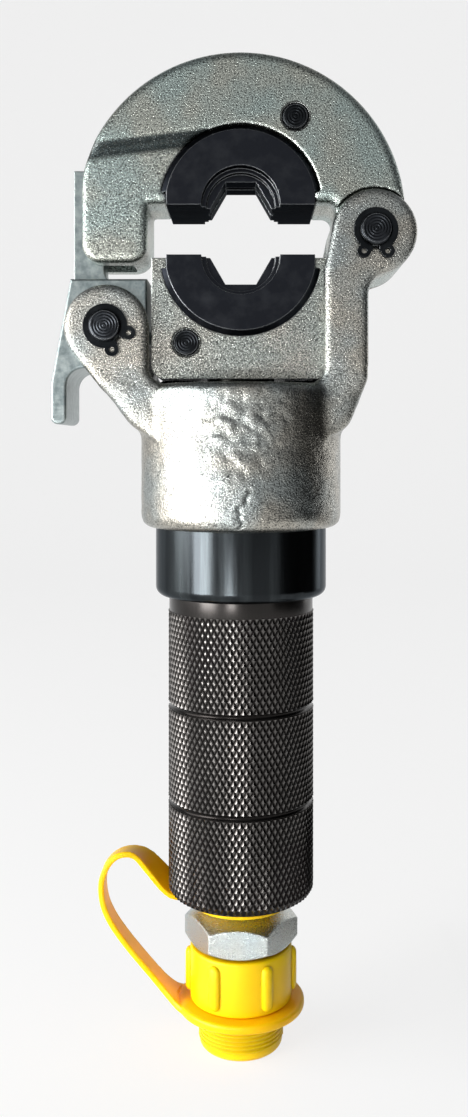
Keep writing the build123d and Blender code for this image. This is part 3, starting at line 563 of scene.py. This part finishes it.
def plug_thread():
    """In object mode, a screw thread of rounded turns, as a mesh of its own."""
    thread = start_piece("plug_thread")
    root = PLUG_RADIUS - THREAD_DEPTH
    tip = PLUG_RADIUS - TOOTH_TIP_INSET
    base = root - TOOTH_BASE_SUNK
    tooth = [(base, -TOOTH_BASE_HALF), (root, -TOOTH_FOOT_HALF), (tip, -TOOTH_TIP_HALF)]
    tooth += [(radius, -height) for radius, height in reversed(tooth)]
    draw_line([(radius, THREAD_LOW + height) for radius, height in tooth])
    bpy.ops.mesh.edge_face_add()
    bpy.ops.mesh.delete(type="ONLY_FACE")
    bpy.ops.object.mode_set(mode="OBJECT")
    screw = thread.modifiers.new("turns", "SCREW")
    screw.screw_offset = THREAD_PITCH * MM
    screw.iterations = THREAD_TURNS
    screw.steps = THREAD_STEPS
    screw.render_steps = THREAD_STEPS
    screw.use_merge_vertices = False
    bpy.ops.object.modifier_apply(modifier="turns")
    bpy.ops.object.mode_set(mode="EDIT")
    pick("edges", lambda e: e.is_boundary)
    bpy.ops.mesh.fill()
    bpy.ops.mesh.select_all(action="SELECT")
    bpy.ops.mesh.normals_make_consistent(inside=False)
    bpy.ops.object.mode_set(mode="OBJECT")
    return thread


def cap_ribs():
    """In edit mode, the grip ribs of the cap: domed bars with round ends, set round its skirt."""
    middle = (CAP_LOW + CAP_TOP) / 2
    stretch = (RIB_LENGTH - RIB_WIDTH) / 2 * MM
    for number in range(RIB_COUNT):
        angle = 2 * math.pi * number / RIB_COUNT
        place = (CAP_RADIUS * math.cos(angle) * MM, CAP_RADIUS * math.sin(angle) * MM, middle * MM)
        bpy.ops.mesh.primitive_uv_sphere_add(
            segments=RIB_SEGMENTS, ring_count=RIB_RINGS, radius=RIB_WIDTH / 2 * MM, location=place,
            rotation=(0, 0, angle), scale=(2 * RIB_HEIGHT / RIB_WIDTH, 1, 1),
        )
    for side in (1, -1):
        pick("verts", lambda v: WELD < side * (v.co.z / MM - middle) < RIB_WIDTH)
        bpy.ops.transform.translate(value=(0, 0, side * stretch))


def ribbed_cap(material):
    """The dust cap: skirt with grip ribs, neck for the tether's eye, and a threaded plug below."""
    thread = plug_thread()
    cap = start_piece("ribbed_cap")
    root = PLUG_RADIUS - THREAD_DEPTH
    band = PLUG_RADIUS - PLUG_BAND_INSET
    band_low = THREAD_LOW + (THREAD_TURNS + THREAD_RUN_OUT) * THREAD_PITCH
    skirt = CAP_RADIUS - CAP_ROUND
    lip = (CAP_BORE + CAP_LIP_ROUND, CAP_TOP - CAP_LIP_ROUND)
    profile = [(0, 0), (root - PLUG_ROUND, 0)]
    profile += arc((root - PLUG_ROUND, PLUG_ROUND), PLUG_ROUND, -90, 0)
    profile += [(root, band_low), (band, band_low + THREAD_DEPTH)]
    profile += [(band, PLUG_LENGTH - PLUG_CHAMFER), (band - PLUG_CHAMFER, PLUG_LENGTH)]
    profile += [(CAP_NECK_RADIUS, PLUG_LENGTH), (CAP_NECK_RADIUS, CAP_LOW)]
    profile += arc((skirt, CAP_LOW + CAP_ROUND), CAP_ROUND, -90, 0)
    profile += arc((skirt, CAP_TOP - CAP_ROUND), CAP_ROUND, 0, 90)
    profile += arc(lip, CAP_LIP_ROUND, 90, 180, CAP_LIP_STEPS)
    profile += [(CAP_BORE, CAP_FLOOR), (0, CAP_FLOOR)]
    lathe(profile, CAP_STEPS)
    cap_ribs()
    bpy.ops.object.mode_set(mode="OBJECT")
    bpy.ops.object.select_all(action="DESELECT")
    thread.select_set(True)
    cap.select_set(True)
    bpy.context.view_layer.objects.active = cap
    bpy.ops.object.join()
    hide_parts("dust_cap")
    finish_piece(cap, "cap", material, CAP_ANGLE)


def cap_tether(material):
    """The tether, moulded in one with its lower eye and soft at the edges."""
    band = merged_copy("cap_tether", "cap_strap", "strap_eye")
    reskin(band, BAND_VOXEL, BAND_SMOOTHING)
    finish_piece(band, None, material, SKIN_ANGLE)
    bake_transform(band)


def compressed_springs(material):
    """The springs that a joint shortens, each as a fixed copy tied to the body that holds it."""
    for name, body, joint, axis in COMPRESSION_SPRINGS:
        spring = merged_copy(name + "_coil", name)
        finish_piece(spring, body, material, SKIN_ANGLE)
        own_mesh(spring)


def latch_torsion_spring(material):
    """The spring round the latch pin, as a fixed copy tied to no body."""
    spring = merged_copy("latch_spring_coil", "latch_spring")
    finish_piece(spring, None, material, SKIN_ANGLE)
    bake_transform(spring)


# Finishes


def new_material(name, sockets):
    """A material with one shader, and the values that are the same all over set on its own sockets."""
    material = bpy.data.materials.new(name)
    material.use_nodes = True
    shader = material.node_tree.nodes["Principled BSDF"]
    for socket, value in sockets.items():
        shader.inputs[socket].default_value = value
    return material, material.node_tree, shader


def node(tree, kind, inputs, **settings):
    """Adds a node. Each input is a value, or the output of another node to link to it."""
    made = tree.nodes.new("ShaderNode" + kind)
    for name, value in settings.items():
        setattr(made, name, value)
    for socket, value in inputs.items():
        if isinstance(value, bpy.types.NodeSocket):
            tree.links.new(value, made.inputs[socket])
        else:
            made.inputs[socket].default_value = value
    return made


def connect(tree, shader, outputs):
    """Links outputs of nodes to sockets of the shader."""
    for socket, output in outputs.items():
        tree.links.new(output, shader.inputs[socket])


def worn_edges(tree, radius, least, most):
    """Normal rounded over sharp edges, and how far an edge is rubbed bright, from 0 to 1."""
    rounded = node(tree, "Bevel", {"Radius": radius * MM}, samples=4).outputs[0]
    plain = node(tree, "NewGeometry", {}).outputs["Normal"]
    along = node(tree, "VectorMath", {0: rounded, 1: plain}, operation="DOT_PRODUCT").outputs["Value"]
    wear = node(tree, "MapRange", {"Value": along, "From Min": 1 - least, "From Max": 1 - most}).outputs[0]
    return rounded, wear


def barrel_grain(tree, place, grain, top):
    """Sandy grain that is smoother below the top of the turned barrel."""
    height = node(tree, "SeparateXYZ", {"Vector": place}).outputs["Z"]
    sandy = node(tree, "MapRange", {
        "Value": height, "From Min": top * MM, "From Max": (top + BARREL_FADE) * MM,
        "To Min": BARREL_GRAIN, "To Max": 1.0,
    }).outputs[0]
    return node(tree, "Mix", {0: sandy, 2: GRAIN_LEVEL, 3: grain}).outputs[0]


def skin_marks_and_painted_shade(tree, plated):
    """Colour of a forging's skin: painted shade on the step across the jaw and in all inner corners, oil with
    painted shade round the ram's foot, the crack in the barrel dark, and the wear of edges, found by how they
    stick out."""
    # the jaw's step painted dark as shade, the crack dark, and oil with painted shade round the ram's foot
    for weights, dark in (("step", "#2B3233"), ("crack", "#3B3D3C"), ("oil_and_shade", OILED_AND_SHADED)):
        share = node(tree, "Attribute", {}, attribute_name=weights + "_weight").outputs["Fac"]
        plated = node(tree, "Mix", {0: share, 6: plated, 7: srgb(dark)}, data_type="RGBA").outputs[2]
    convex = node(tree, "NewGeometry", {}).outputs["Pointiness"]
    # inner corners painted darker, as shade
    corner_shade = node(tree, "MapRange", {"Value": convex, "From Min": 0.485, "From Max": 0.43}).outputs[0]
    plated = node(tree, "Mix", {0: corner_shade, 6: plated, 7: srgb("#3A4243")}, data_type="RGBA").outputs[2]
    wear = node(tree, "MapRange", {"Value": convex, "From Min": 0.515, "From Max": 0.58}).outputs[0]
    return plated, wear


def oil_and_shade_below(tree, normal, plated):
    """Colour of a solid whose faces that look down are painted dark: oil, and painted shade."""
    facing = node(tree, "SeparateXYZ", {"Vector": normal}).outputs["Z"]
    downward_shade = node(tree, "MapRange", {"Value": facing, "From Min": -0.3, "From Max": -0.8}).outputs[0]
    return node(tree, "Mix", {0: downward_shade, 6: plated, 7: srgb(OILED_AND_SHADED)}, data_type="RGBA").outputs[2]


def button_grime(tree, place, button, plated):
    """Colour with grime in a ragged ring round a release button."""
    middle = tuple(-value * MM for value in button)
    centred = node(tree, "Mapping", {"Vector": place, "Location": middle}).outputs[0]
    away = node(tree, "VectorMath", {0: centred}, operation="LENGTH").outputs["Value"]
    near = node(tree, "MapRange", {"Value": away, "From Min": STAIN_REACH * MM,
                                   "From Max": STAIN_CORE * MM}).outputs[0]
    specks = node(tree, "TexNoise", {"Vector": place, "Scale": per_size(0.9), "Detail": 3.0}).outputs[0]
    ragged = node(tree, "Math", {0: near, 1: specks}, operation="ADD").outputs[0]
    grime = node(tree, "MapRange", {"Value": ragged, "From Min": 1.05, "From Max": 1.25}).outputs[0]
    return node(tree, "Mix", {0: grime, 6: plated, 7: srgb("#2C2B27")}, data_type="RGBA").outputs[2]


def forged_zinc(name, cool, warm, pits="#3E413F", grain_size=0.5, smooth_below=None, skinned=False,
                stained_round=None):
    """Forged steel, shot-blasted and zinc plated: a bright sandy grain, with dirt in its pits and bluish
    patches. The rounded edges are rubbed smooth and brighter. Below a height it may be smoother, as the
    turned barrel is. Grime gathers in a ragged ring round a release button."""
    material, tree, shader = new_material(name, {"Metallic": 1.0})
    coordinates = node(tree, "TexCoord", {})
    place = coordinates.outputs["Object"]
    # blasted grain, drawn coarse enough to show in the render
    grain = node(tree, "TexNoise", {"Vector": place, "Scale": per_size(grain_size), "Detail": 2.0,
                                    "Roughness": 0.6}).outputs[0]
    if smooth_below:
        grain = barrel_grain(tree, place, grain, smooth_below)
    patches = node(tree, "TexNoise", {"Vector": place, "Scale": per_size(17), "Detail": 2.0}).outputs[0]
    rounded, wear = worn_edges(tree, radius=0.8, least=0.01, most=0.16)
    tint = node(tree, "MapRange", {"Value": patches, "From Min": 0.38, "From Max": 0.62}).outputs[0]
    plated = node(tree, "Mix", {0: tint, 6: srgb(cool), 7: srgb(warm)}, data_type="RGBA").outputs[2]
    # A skinned forging gets painted shade from its skin marks; any other solid gets oil with painted shade on
    # the faces that look down.
    if skinned:
        plated, wear = skin_marks_and_painted_shade(tree, plated)
    else:
        plated = oil_and_shade_below(tree, coordinates.outputs["Normal"], plated)
    if stained_round:
        plated = button_grime(tree, place, stained_round, plated)
    pitted = node(tree, "MapRange", {"Value": grain, "From Min": 0.34, "From Max": 0.53}).outputs[0]
    dirty = node(tree, "Mix", {0: pitted, 6: srgb(pits), 7: plated}, data_type="RGBA").outputs[2]
    raised = node(tree, "MapRange", {"Value": grain, "From Min": 0.62, "From Max": 0.9}).outputs[0]
    sparkling = node(tree, "Mix", {0: raised, 6: dirty, 7: srgb("#DCE0DD")}, data_type="RGBA").outputs[2]
    bright = node(tree, "Mix", {0: wear, 6: sparkling, 7: srgb("#D6DBD8")}, data_type="RGBA").outputs[2]
    rough = node(tree, "MapRange", {"Value": grain, "From Min": 0.3, "From Max": 0.7, "To Min": 0.34,
                                    "To Max": 0.2}).outputs[0]
    surface = node(tree, "Bump", {"Height": grain, "Distance": 0.45 * grain_size * MM,
                                  "Normal": rounded}).outputs[0]
    connect(tree, shader, {"Base Color": bright, "Roughness": rough, "Normal": surface})
    return material


def satin_zinc(name):
    """Machined steel, zinc plated: a duller silver with the fine level lines of its milling and a pale
    bloom."""
    material, tree, shader = new_material(name, {"Metallic": 1.0})
    place = node(tree, "TexCoord", {}).outputs["Object"]
    lines = node(tree, "Mapping", {"Vector": place, "Scale": MILLED}).outputs[0]
    milled = node(tree, "TexNoise", {"Vector": lines, "Scale": per_size(0.6), "Detail": 2.0}).outputs[0]
    bloom = node(tree, "TexNoise", {"Vector": place, "Scale": per_size(2.5), "Detail": 5.0,
                                    "Roughness": 0.65}).outputs[0]
    rounded, wear = worn_edges(tree, radius=0.6, least=0.01, most=0.16)
    clouded = node(tree, "MapRange", {"Value": bloom, "From Min": 0.35, "From Max": 0.65}).outputs[0]
    plated = node(tree, "Mix", {0: clouded, 6: srgb("#7F8A8B"), 7: srgb("#A5AEAD")},
                  data_type="RGBA").outputs[2]
    bright = node(tree, "Mix", {0: wear, 6: plated, 7: srgb("#CBD2CF")}, data_type="RGBA").outputs[2]
    rough = node(tree, "MapRange", {"Value": bloom, "To Min": 0.28, "To Max": 0.42}).outputs[0]
    surface = node(tree, "Bump", {"Height": milled, "Strength": 0.5, "Distance": 0.1 * MM,
                                  "Normal": rounded}).outputs[0]
    connect(tree, shader, {"Base Color": bright, "Roughness": rough, "Normal": surface})
    return material


def tool_rings(tree, place, centre, surface):
    """Normal with the rings of a lathe tool about an axis along Y, through an X and Z place."""
    axis = (-centre[0] * MM, 0, -centre[1] * MM)
    flat = node(tree, "Mapping", {"Vector": place, "Location": axis, "Scale": (1, 0, 1)}).outputs[0]
    away = node(tree, "VectorMath", {0: flat}, operation="LENGTH").outputs["Value"]
    # drawn 0.9 mm apart so that they show in the render
    wave = node(tree, "Math", {0: away, 1: 2 * math.pi * per_size(0.9)}, operation="MULTIPLY").outputs[0]
    rings = node(tree, "Math", {0: wave}, operation="SINE").outputs[0]
    return node(tree, "Bump", {"Height": rings, "Strength": 0.8, "Distance": 0.08 * MM,
                               "Normal": surface}).outputs[0]


def oxide_black(name, dark, scuffed, roughness, stretch=1.0, centre=None, edge=0.45, grazing="#7C8084"):
    """Steel blackened by hot oxide: a satin blue-black that scuffs grey and wears bright along its edges. A
    turned end shows the rings of the lathe tool about its centre. Where it is polished, it pales at its
    rims."""
    material, tree, shader = new_material(name, {"Metallic": 1.0, "Specular Tint": srgb(grazing)})
    place = node(tree, "TexCoord", {}).outputs["Object"]
    drawn = node(tree, "Mapping", {"Vector": place, "Scale": (1, 1, stretch)}).outputs[0]
    cloud = node(tree, "TexNoise", {"Vector": drawn, "Scale": per_size(6), "Detail": 5.0,
                                    "Roughness": 0.6}).outputs[0]
    fine = node(tree, "TexNoise", {"Vector": drawn, "Scale": per_size(0.6), "Detail": 2.0}).outputs[0]
    rounded, wear = worn_edges(tree, radius=edge, least=0.02, most=0.16)
    scuff = node(tree, "MapRange", {"Value": cloud, "From Min": 0.42, "From Max": 0.75}).outputs[0]
    oxide = node(tree, "Mix", {0: scuff, 6: srgb(dark), 7: srgb(scuffed)}, data_type="RGBA").outputs[2]
    bared = node(tree, "Math", {0: wear, 1: fine}, operation="MULTIPLY").outputs[0]
    bright = node(tree, "Mix", {0: bared, 6: oxide, 7: srgb("#C9CDCF")}, data_type="RGBA").outputs[2]
    rough = node(tree, "MapRange", {"Value": cloud, "From Min": 0.3, "From Max": 0.7,
                                    "To Min": roughness - 0.05, "To Max": roughness + 0.08}).outputs[0]
    surface = node(tree, "Bump", {"Height": fine, "Strength": 0.3, "Distance": 0.04 * MM,
                                  "Normal": rounded}).outputs[0]
    if centre:
        surface = tool_rings(tree, place, centre, surface)
    connect(tree, shader, {"Base Color": bright, "Roughness": rough, "Normal": surface})
    return material


def anodised_black(name, radius):
    """Black anodised aluminium: a deep satin black in the grooves of the knurl, rubbed grey on its tops by
    hands."""
    material, tree, shader = new_material(name, {"Metallic": 1.0})
    place = node(tree, "TexCoord", {}).outputs["Object"]
    handled = node(tree, "TexNoise", {"Vector": place, "Scale": per_size(9), "Detail": 4.0}).outputs[0]
    level = node(tree, "Mapping", {"Vector": place, "Scale": (1, 1, 0)}).outputs[0]
    away = node(tree, "VectorMath", {0: level}, operation="LENGTH").outputs["Value"]
    raised = node(tree, "MapRange", {"Value": away, "From Min": (radius - GRIP_RUB_DEPTH) * MM,
                                     "From Max": radius * MM}).outputs[0]
    rubbed = node(tree, "Mix", {0: handled, 6: srgb("#5E5C5A"), 7: srgb("#908D8A")},
                  data_type="RGBA").outputs[2]
    film = node(tree, "Mix", {0: raised, 6: srgb("#211F1E"), 7: rubbed}, data_type="RGBA").outputs[2]
    rough = node(tree, "MapRange", {"Value": handled, "To Min": 0.2, "To Max": 0.3}).outputs[0]
    connect(tree, shader, {"Base Color": film, "Roughness": rough})
    return material


def moulded_yellow(name, deep, light):
    """Moulded low-density polyethylene: a waxy saturated yellow, with light in its thin edges and a faint
    orange peel."""
    material, tree, shader = new_material(name, {
        "IOR": 1.51, "Specular IOR Level": 0.3, "Subsurface Weight": 0.6, "Subsurface Scale": 1.0,
        "Subsurface Radius": (3 * MM, 2.8 * MM, 0.4 * MM),
    })
    place = node(tree, "TexCoord", {}).outputs["Object"]
    peel = node(tree, "TexNoise", {"Vector": place, "Scale": per_size(1.6), "Detail": 2.0}).outputs[0]
    flow = node(tree, "TexNoise", {"Vector": place, "Scale": per_size(14), "Detail": 3.0}).outputs[0]
    shade = node(tree, "Mix", {0: flow, 6: srgb(deep), 7: srgb(light)}, data_type="RGBA").outputs[2]
    rough = node(tree, "MapRange", {"Value": flow, "To Min": 0.34, "To Max": 0.46}).outputs[0]
    surface = node(tree, "Bump", {"Height": peel, "Strength": 0.25, "Distance": 0.05 * MM}).outputs[0]
    connect(tree, shader, {"Base Color": shade, "Roughness": rough, "Normal": surface})
    return material


def plain_metal(name, colour, streak_colour, roughness, streak, grease_and_shade_above=None):
    """Bare machined metal or wire: fine streaks, level where it was turned, and grease with painted shade
    above a height.
    """
    material, tree, shader = new_material(name, {"Metallic": 1.0})
    place = node(tree, "TexCoord", {}).outputs["Object"]
    stretched = node(tree, "Mapping", {"Vector": place, "Scale": streak}).outputs[0]
    lines = node(tree, "TexNoise", {"Vector": stretched, "Scale": per_size(0.4), "Detail": 2.0}).outputs[0]
    mixed = node(tree, "Mix", {0: lines, 6: srgb(colour), 7: srgb(streak_colour)},
                 data_type="RGBA").outputs[2]
    # dark above a height: grease, and painted shade on the rod in the gap under the ram
    if grease_and_shade_above:
        height = node(tree, "SeparateXYZ", {"Vector": place}).outputs["Z"]
        greased_and_shaded = node(tree, "MapRange", {"Value": height, "From Min": (grease_and_shade_above - GREASE_AND_SHADE_FADE) * MM,
                                         "From Max": grease_and_shade_above * MM}).outputs[0]
        mixed = node(tree, "Mix", {0: greased_and_shaded, 6: mixed, 7: srgb("#1B1B19")}, data_type="RGBA").outputs[2]
    rough = node(tree, "MapRange", {"Value": lines, "To Min": roughness - 0.08,
                                    "To Max": roughness + 0.08}).outputs[0]
    connect(tree, shader, {"Base Color": mixed, "Roughness": rough})
    return material


def nitrile_rubber(name):
    """Moulded nitrile rubber: matt black with a faint grain."""
    material, tree, shader = new_material(name, {"IOR": 1.52})
    place = node(tree, "TexCoord", {}).outputs["Object"]
    grain = node(tree, "TexNoise", {"Vector": place, "Scale": per_size(0.8), "Detail": 2.0}).outputs[0]
    black = node(tree, "Mix", {0: grain, 6: srgb("#131313"), 7: srgb("#232323")}, data_type="RGBA").outputs[2]
    rough = node(tree, "MapRange", {"Value": grain, "To Min": 0.6, "To Max": 0.8}).outputs[0]
    connect(tree, shader, {"Base Color": black, "Roughness": rough})
    return material


def dress_nodes():
    """Gives a finish to each solid that no finer piece stands for."""
    lower_button = button_place(LOWER_LOCK, "ram_block")
    ram_zinc = forged_zinc("zinc_plated_ram_forging", "#A9AEA8", "#B2AFA6", stained_round=lower_button)
    hexagon_zinc = forged_zinc("zinc_plated_hexagon", "#C9D4D6", "#D2D2CA", pits="#A6AEB0", grain_size=0.32)
    ground = ("#8F9293", "#B9BBBB", 0.26, TURNED)
    steel = plain_metal("ground_steel", *ground)
    # the rod is painted dark from just below the ram: grease, and painted shade in the gap
    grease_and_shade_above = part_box("ram_block")[0].z / MM - GREASE_AND_SHADE_BELOW_RAM
    rod_steel = plain_metal("chromed_rod_steel", *ground, grease_and_shade_above)
    bronze = plain_metal("cast_bronze", "#8A6A35", "#A9854A", 0.34, TURNED)
    rubber = nitrile_rubber("nitrile_rubber")
    satin = satin_zinc("zinc_plated_machined_steel")
    die_black = oxide_black("black_oxide_die_steel", "#25272C", "#34363A", 0.36)
    collar_black = oxide_black("black_oxide_collar", "#2A2D2F", "#454A4C", 0.2, stretch=0.05,
                               grazing="#D0D3D6")
    clip_black = oxide_black("black_oxide_spring_steel", "#1B1D1F", "#2A2D2F", 0.36, edge=0.12)
    finishes = {
        ram_zinc: ["ram_block"],
        hexagon_zinc: ["coupler_body"],
        satin: ["latch_lever"],
        die_black: ["upper_die", "lower_die"],
        collar_black: ["cylinder"],
        clip_black: ["hinge_circlips", "latch_circlips"],
        rod_steel: ["piston_rod"],
        steel: ["piston", "ram_screw", "keeper_pin", "upper_lock_ball", "lower_lock_ball",
                "coupler_poppet", "poppet_guide"],
        bronze: ["rod_gland", "piston_guide_ring"],
        rubber: ["piston_seal", "rod_wiper", "coupler_seal"],
    }
    for pin, centre in (("hinge_pin", HINGE), ("latch_pin", LATCH)):
        finishes[oxide_black("black_oxide_" + pin, "#292B2E", "#3B3E42", 0.3, centre=centre)] = [pin]
    for side, centre in (("upper", UPPER_LOCK), ("lower", LOWER_LOCK)):
        button_black = oxide_black(f"black_oxide_{side}_button", "#1E2022", "#303336", 0.3, centre=centre)
        finishes[button_black] = [f"{side}_lock_pin"]
    for material, names in finishes.items():
        for name in names:
            frame["nodes"][name].material_slots[0].material = material


# Stage, light and camera


def studio():
    """A pale floor that runs up into a pale wall, and the light of the room."""
    bpy.ops.object.select_all(action="DESELECT")
    bpy.ops.mesh.primitive_plane_add(size=1)
    floor = bpy.context.object
    floor.name = "studio_floor"
    bpy.ops.object.mode_set(mode="EDIT")
    bpy.ops.transform.resize(value=(*FLOOR_SIZE, 1), center_override=(0, 0, 0))
    pick("edges", lambda e: all(v.co.y > FLOOR_SIZE[1] / 4 for v in e.verts))
    bpy.ops.mesh.extrude_edges_move(TRANSFORM_OT_translate={"value": (0, 0, WALL_HEIGHT)})
    pick("edges", lambda e: all(v.co.y > FLOOR_SIZE[1] / 4 and v.co.z < WALL_HEIGHT / 3 for v in e.verts))
    bpy.ops.mesh.bevel(offset=COVE_SIZE, segments=COVE_SEGMENTS, affect="EDGES")
    bpy.ops.object.mode_set(mode="OBJECT")
    bpy.ops.object.shade_smooth()
    paint, tree, shader = new_material("matt_white_paint", {"Roughness": 0.9, "Base Color": srgb("#F2F2F0")})
    ray = node(tree, "LightPath", {})
    shown = ray.outputs["Is Camera Ray"]
    for kind in ("Is Glossy Ray", "Is Transmission Ray"):
        shown = node(tree, "Math", {0: shown, 1: ray.outputs[kind]}, operation="ADD",
                     use_clamp=True).outputs[0]
    share = node(tree, "Math", {0: shown, 1: GLOW_SHARE}, operation="MULTIPLY").outputs[0]
    glow = node(tree, "Emission", {"Color": srgb("#FFFFFF"), "Strength": 1.0}).outputs[0]
    both = node(tree, "MixShader", {0: share, 1: shader.outputs[0], 2: glow}).outputs[0]
    tree.links.new(both, tree.nodes["Material Output"].inputs["Surface"])
    floor.data.materials.append(paint)
    world = bpy.data.worlds.new("studio_room")
    world.use_nodes = True
    backdrop = world.node_tree.nodes["Background"]
    backdrop.inputs["Color"].default_value = srgb("#B4B6BA")
    backdrop.inputs["Strength"].default_value = ROOM_LIGHT
    bpy.context.scene.world = world


def dark_card(place, depth, height):
    """A matt black card that stands beside the object for the metal to mirror. It isn't seen and casts no
    shadow."""
    bpy.ops.object.select_all(action="DESELECT")
    bpy.ops.mesh.primitive_plane_add(size=1)
    card = bpy.context.object
    card.name = "dark_card"
    bpy.ops.object.mode_set(mode="EDIT")
    bpy.ops.transform.resize(value=(height * MM, depth * MM, 1), center_override=(0, 0, 0))
    bpy.ops.transform.rotate(value=math.pi / 2, orient_axis="Y", center_override=(0, 0, 0))
    bpy.ops.transform.translate(value=Vector(place) * MM)
    bpy.ops.object.mode_set(mode="OBJECT")
    cloth = new_material("black_cloth", {"Roughness": 1.0, "Base Color": srgb("#141414")})[0]
    card.data.materials.append(cloth)
    card.visible_camera = False
    card.visible_shadow = False


def soft_box(name, place, target, width, height, power):
    """A soft rectangular lamp aimed at a point. Places are in millimetres."""
    bpy.ops.object.light_add(type="AREA", location=Vector(place) * MM)
    lamp = bpy.context.object
    lamp.name = name
    lamp.data.shape = "RECTANGLE"
    lamp.data.size = width * MM
    lamp.data.size_y = height * MM
    lamp.data.energy = power
    aim = (Vector(target) - Vector(place)).to_track_quat("-Z", "Y")
    lamp.rotation_mode = "QUATERNION"
    lamp.rotation_quaternion = aim


def photo_camera():
    """The camera at the photograph's view: level, in front of the object, with the frame shifted as the
    photo's is."""
    bpy.ops.object.camera_add(location=Vector(CAMERA_PLACE) * MM, rotation=(math.pi / 2, 0, 0))
    camera = bpy.context.object
    camera.data.sensor_width = SENSOR_WIDTH
    camera.data.lens = SENSOR_WIDTH * FOCAL_LENGTH_PX / PHOTO_HEIGHT
    camera.data.shift_x = (PHOTO_WIDTH / 2 - AXIS_PX[0]) / PHOTO_HEIGHT
    camera.data.shift_y = (AXIS_PX[1] - PHOTO_HEIGHT / 2) / PHOTO_HEIGHT
    camera.data.clip_start = CAMERA_CLIP * MM
    bpy.context.scene.camera = camera


dress_nodes()
upper_button = button_place(UPPER_LOCK, "upper_jaw")
jaw_zinc = forged_zinc("zinc_plated_jaw_forging", "#AFBDB8", "#B9BCB2", skinned=True,
                       stained_round=upper_button)
yoke_zinc = forged_zinc("zinc_plated_yoke_forging", "#A6ACAA", "#B3AFA5", skinned=True,
                        smooth_below=BARREL_TOP)
forged_jaw(jaw_zinc)
forged_yoke(yoke_zinc)
knurled_grip(anodised_black("black_anodised_aluminium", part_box("handle_sleeve")[1].x / MM))
ribbed_cap(moulded_yellow("yellow_polyethylene_cap", "#FAC200", "#FFD402"))
cap_tether(moulded_yellow("yellow_polyethylene_tether", "#FFB700", "#FFCC00"))
wire = plain_metal("oil_tempered_spring_wire", "#4B4A48", "#75736F", 0.36, DRAWN)
compressed_springs(wire)
latch_torsion_spring(wire)
studio()
for card_row in DARK_CARDS:
    dark_card(*card_row)
for lamp_row in LAMPS:
    soft_box(*lamp_row)
photo_camera()
bpy.context.scene.view_settings.view_transform = "Standard"
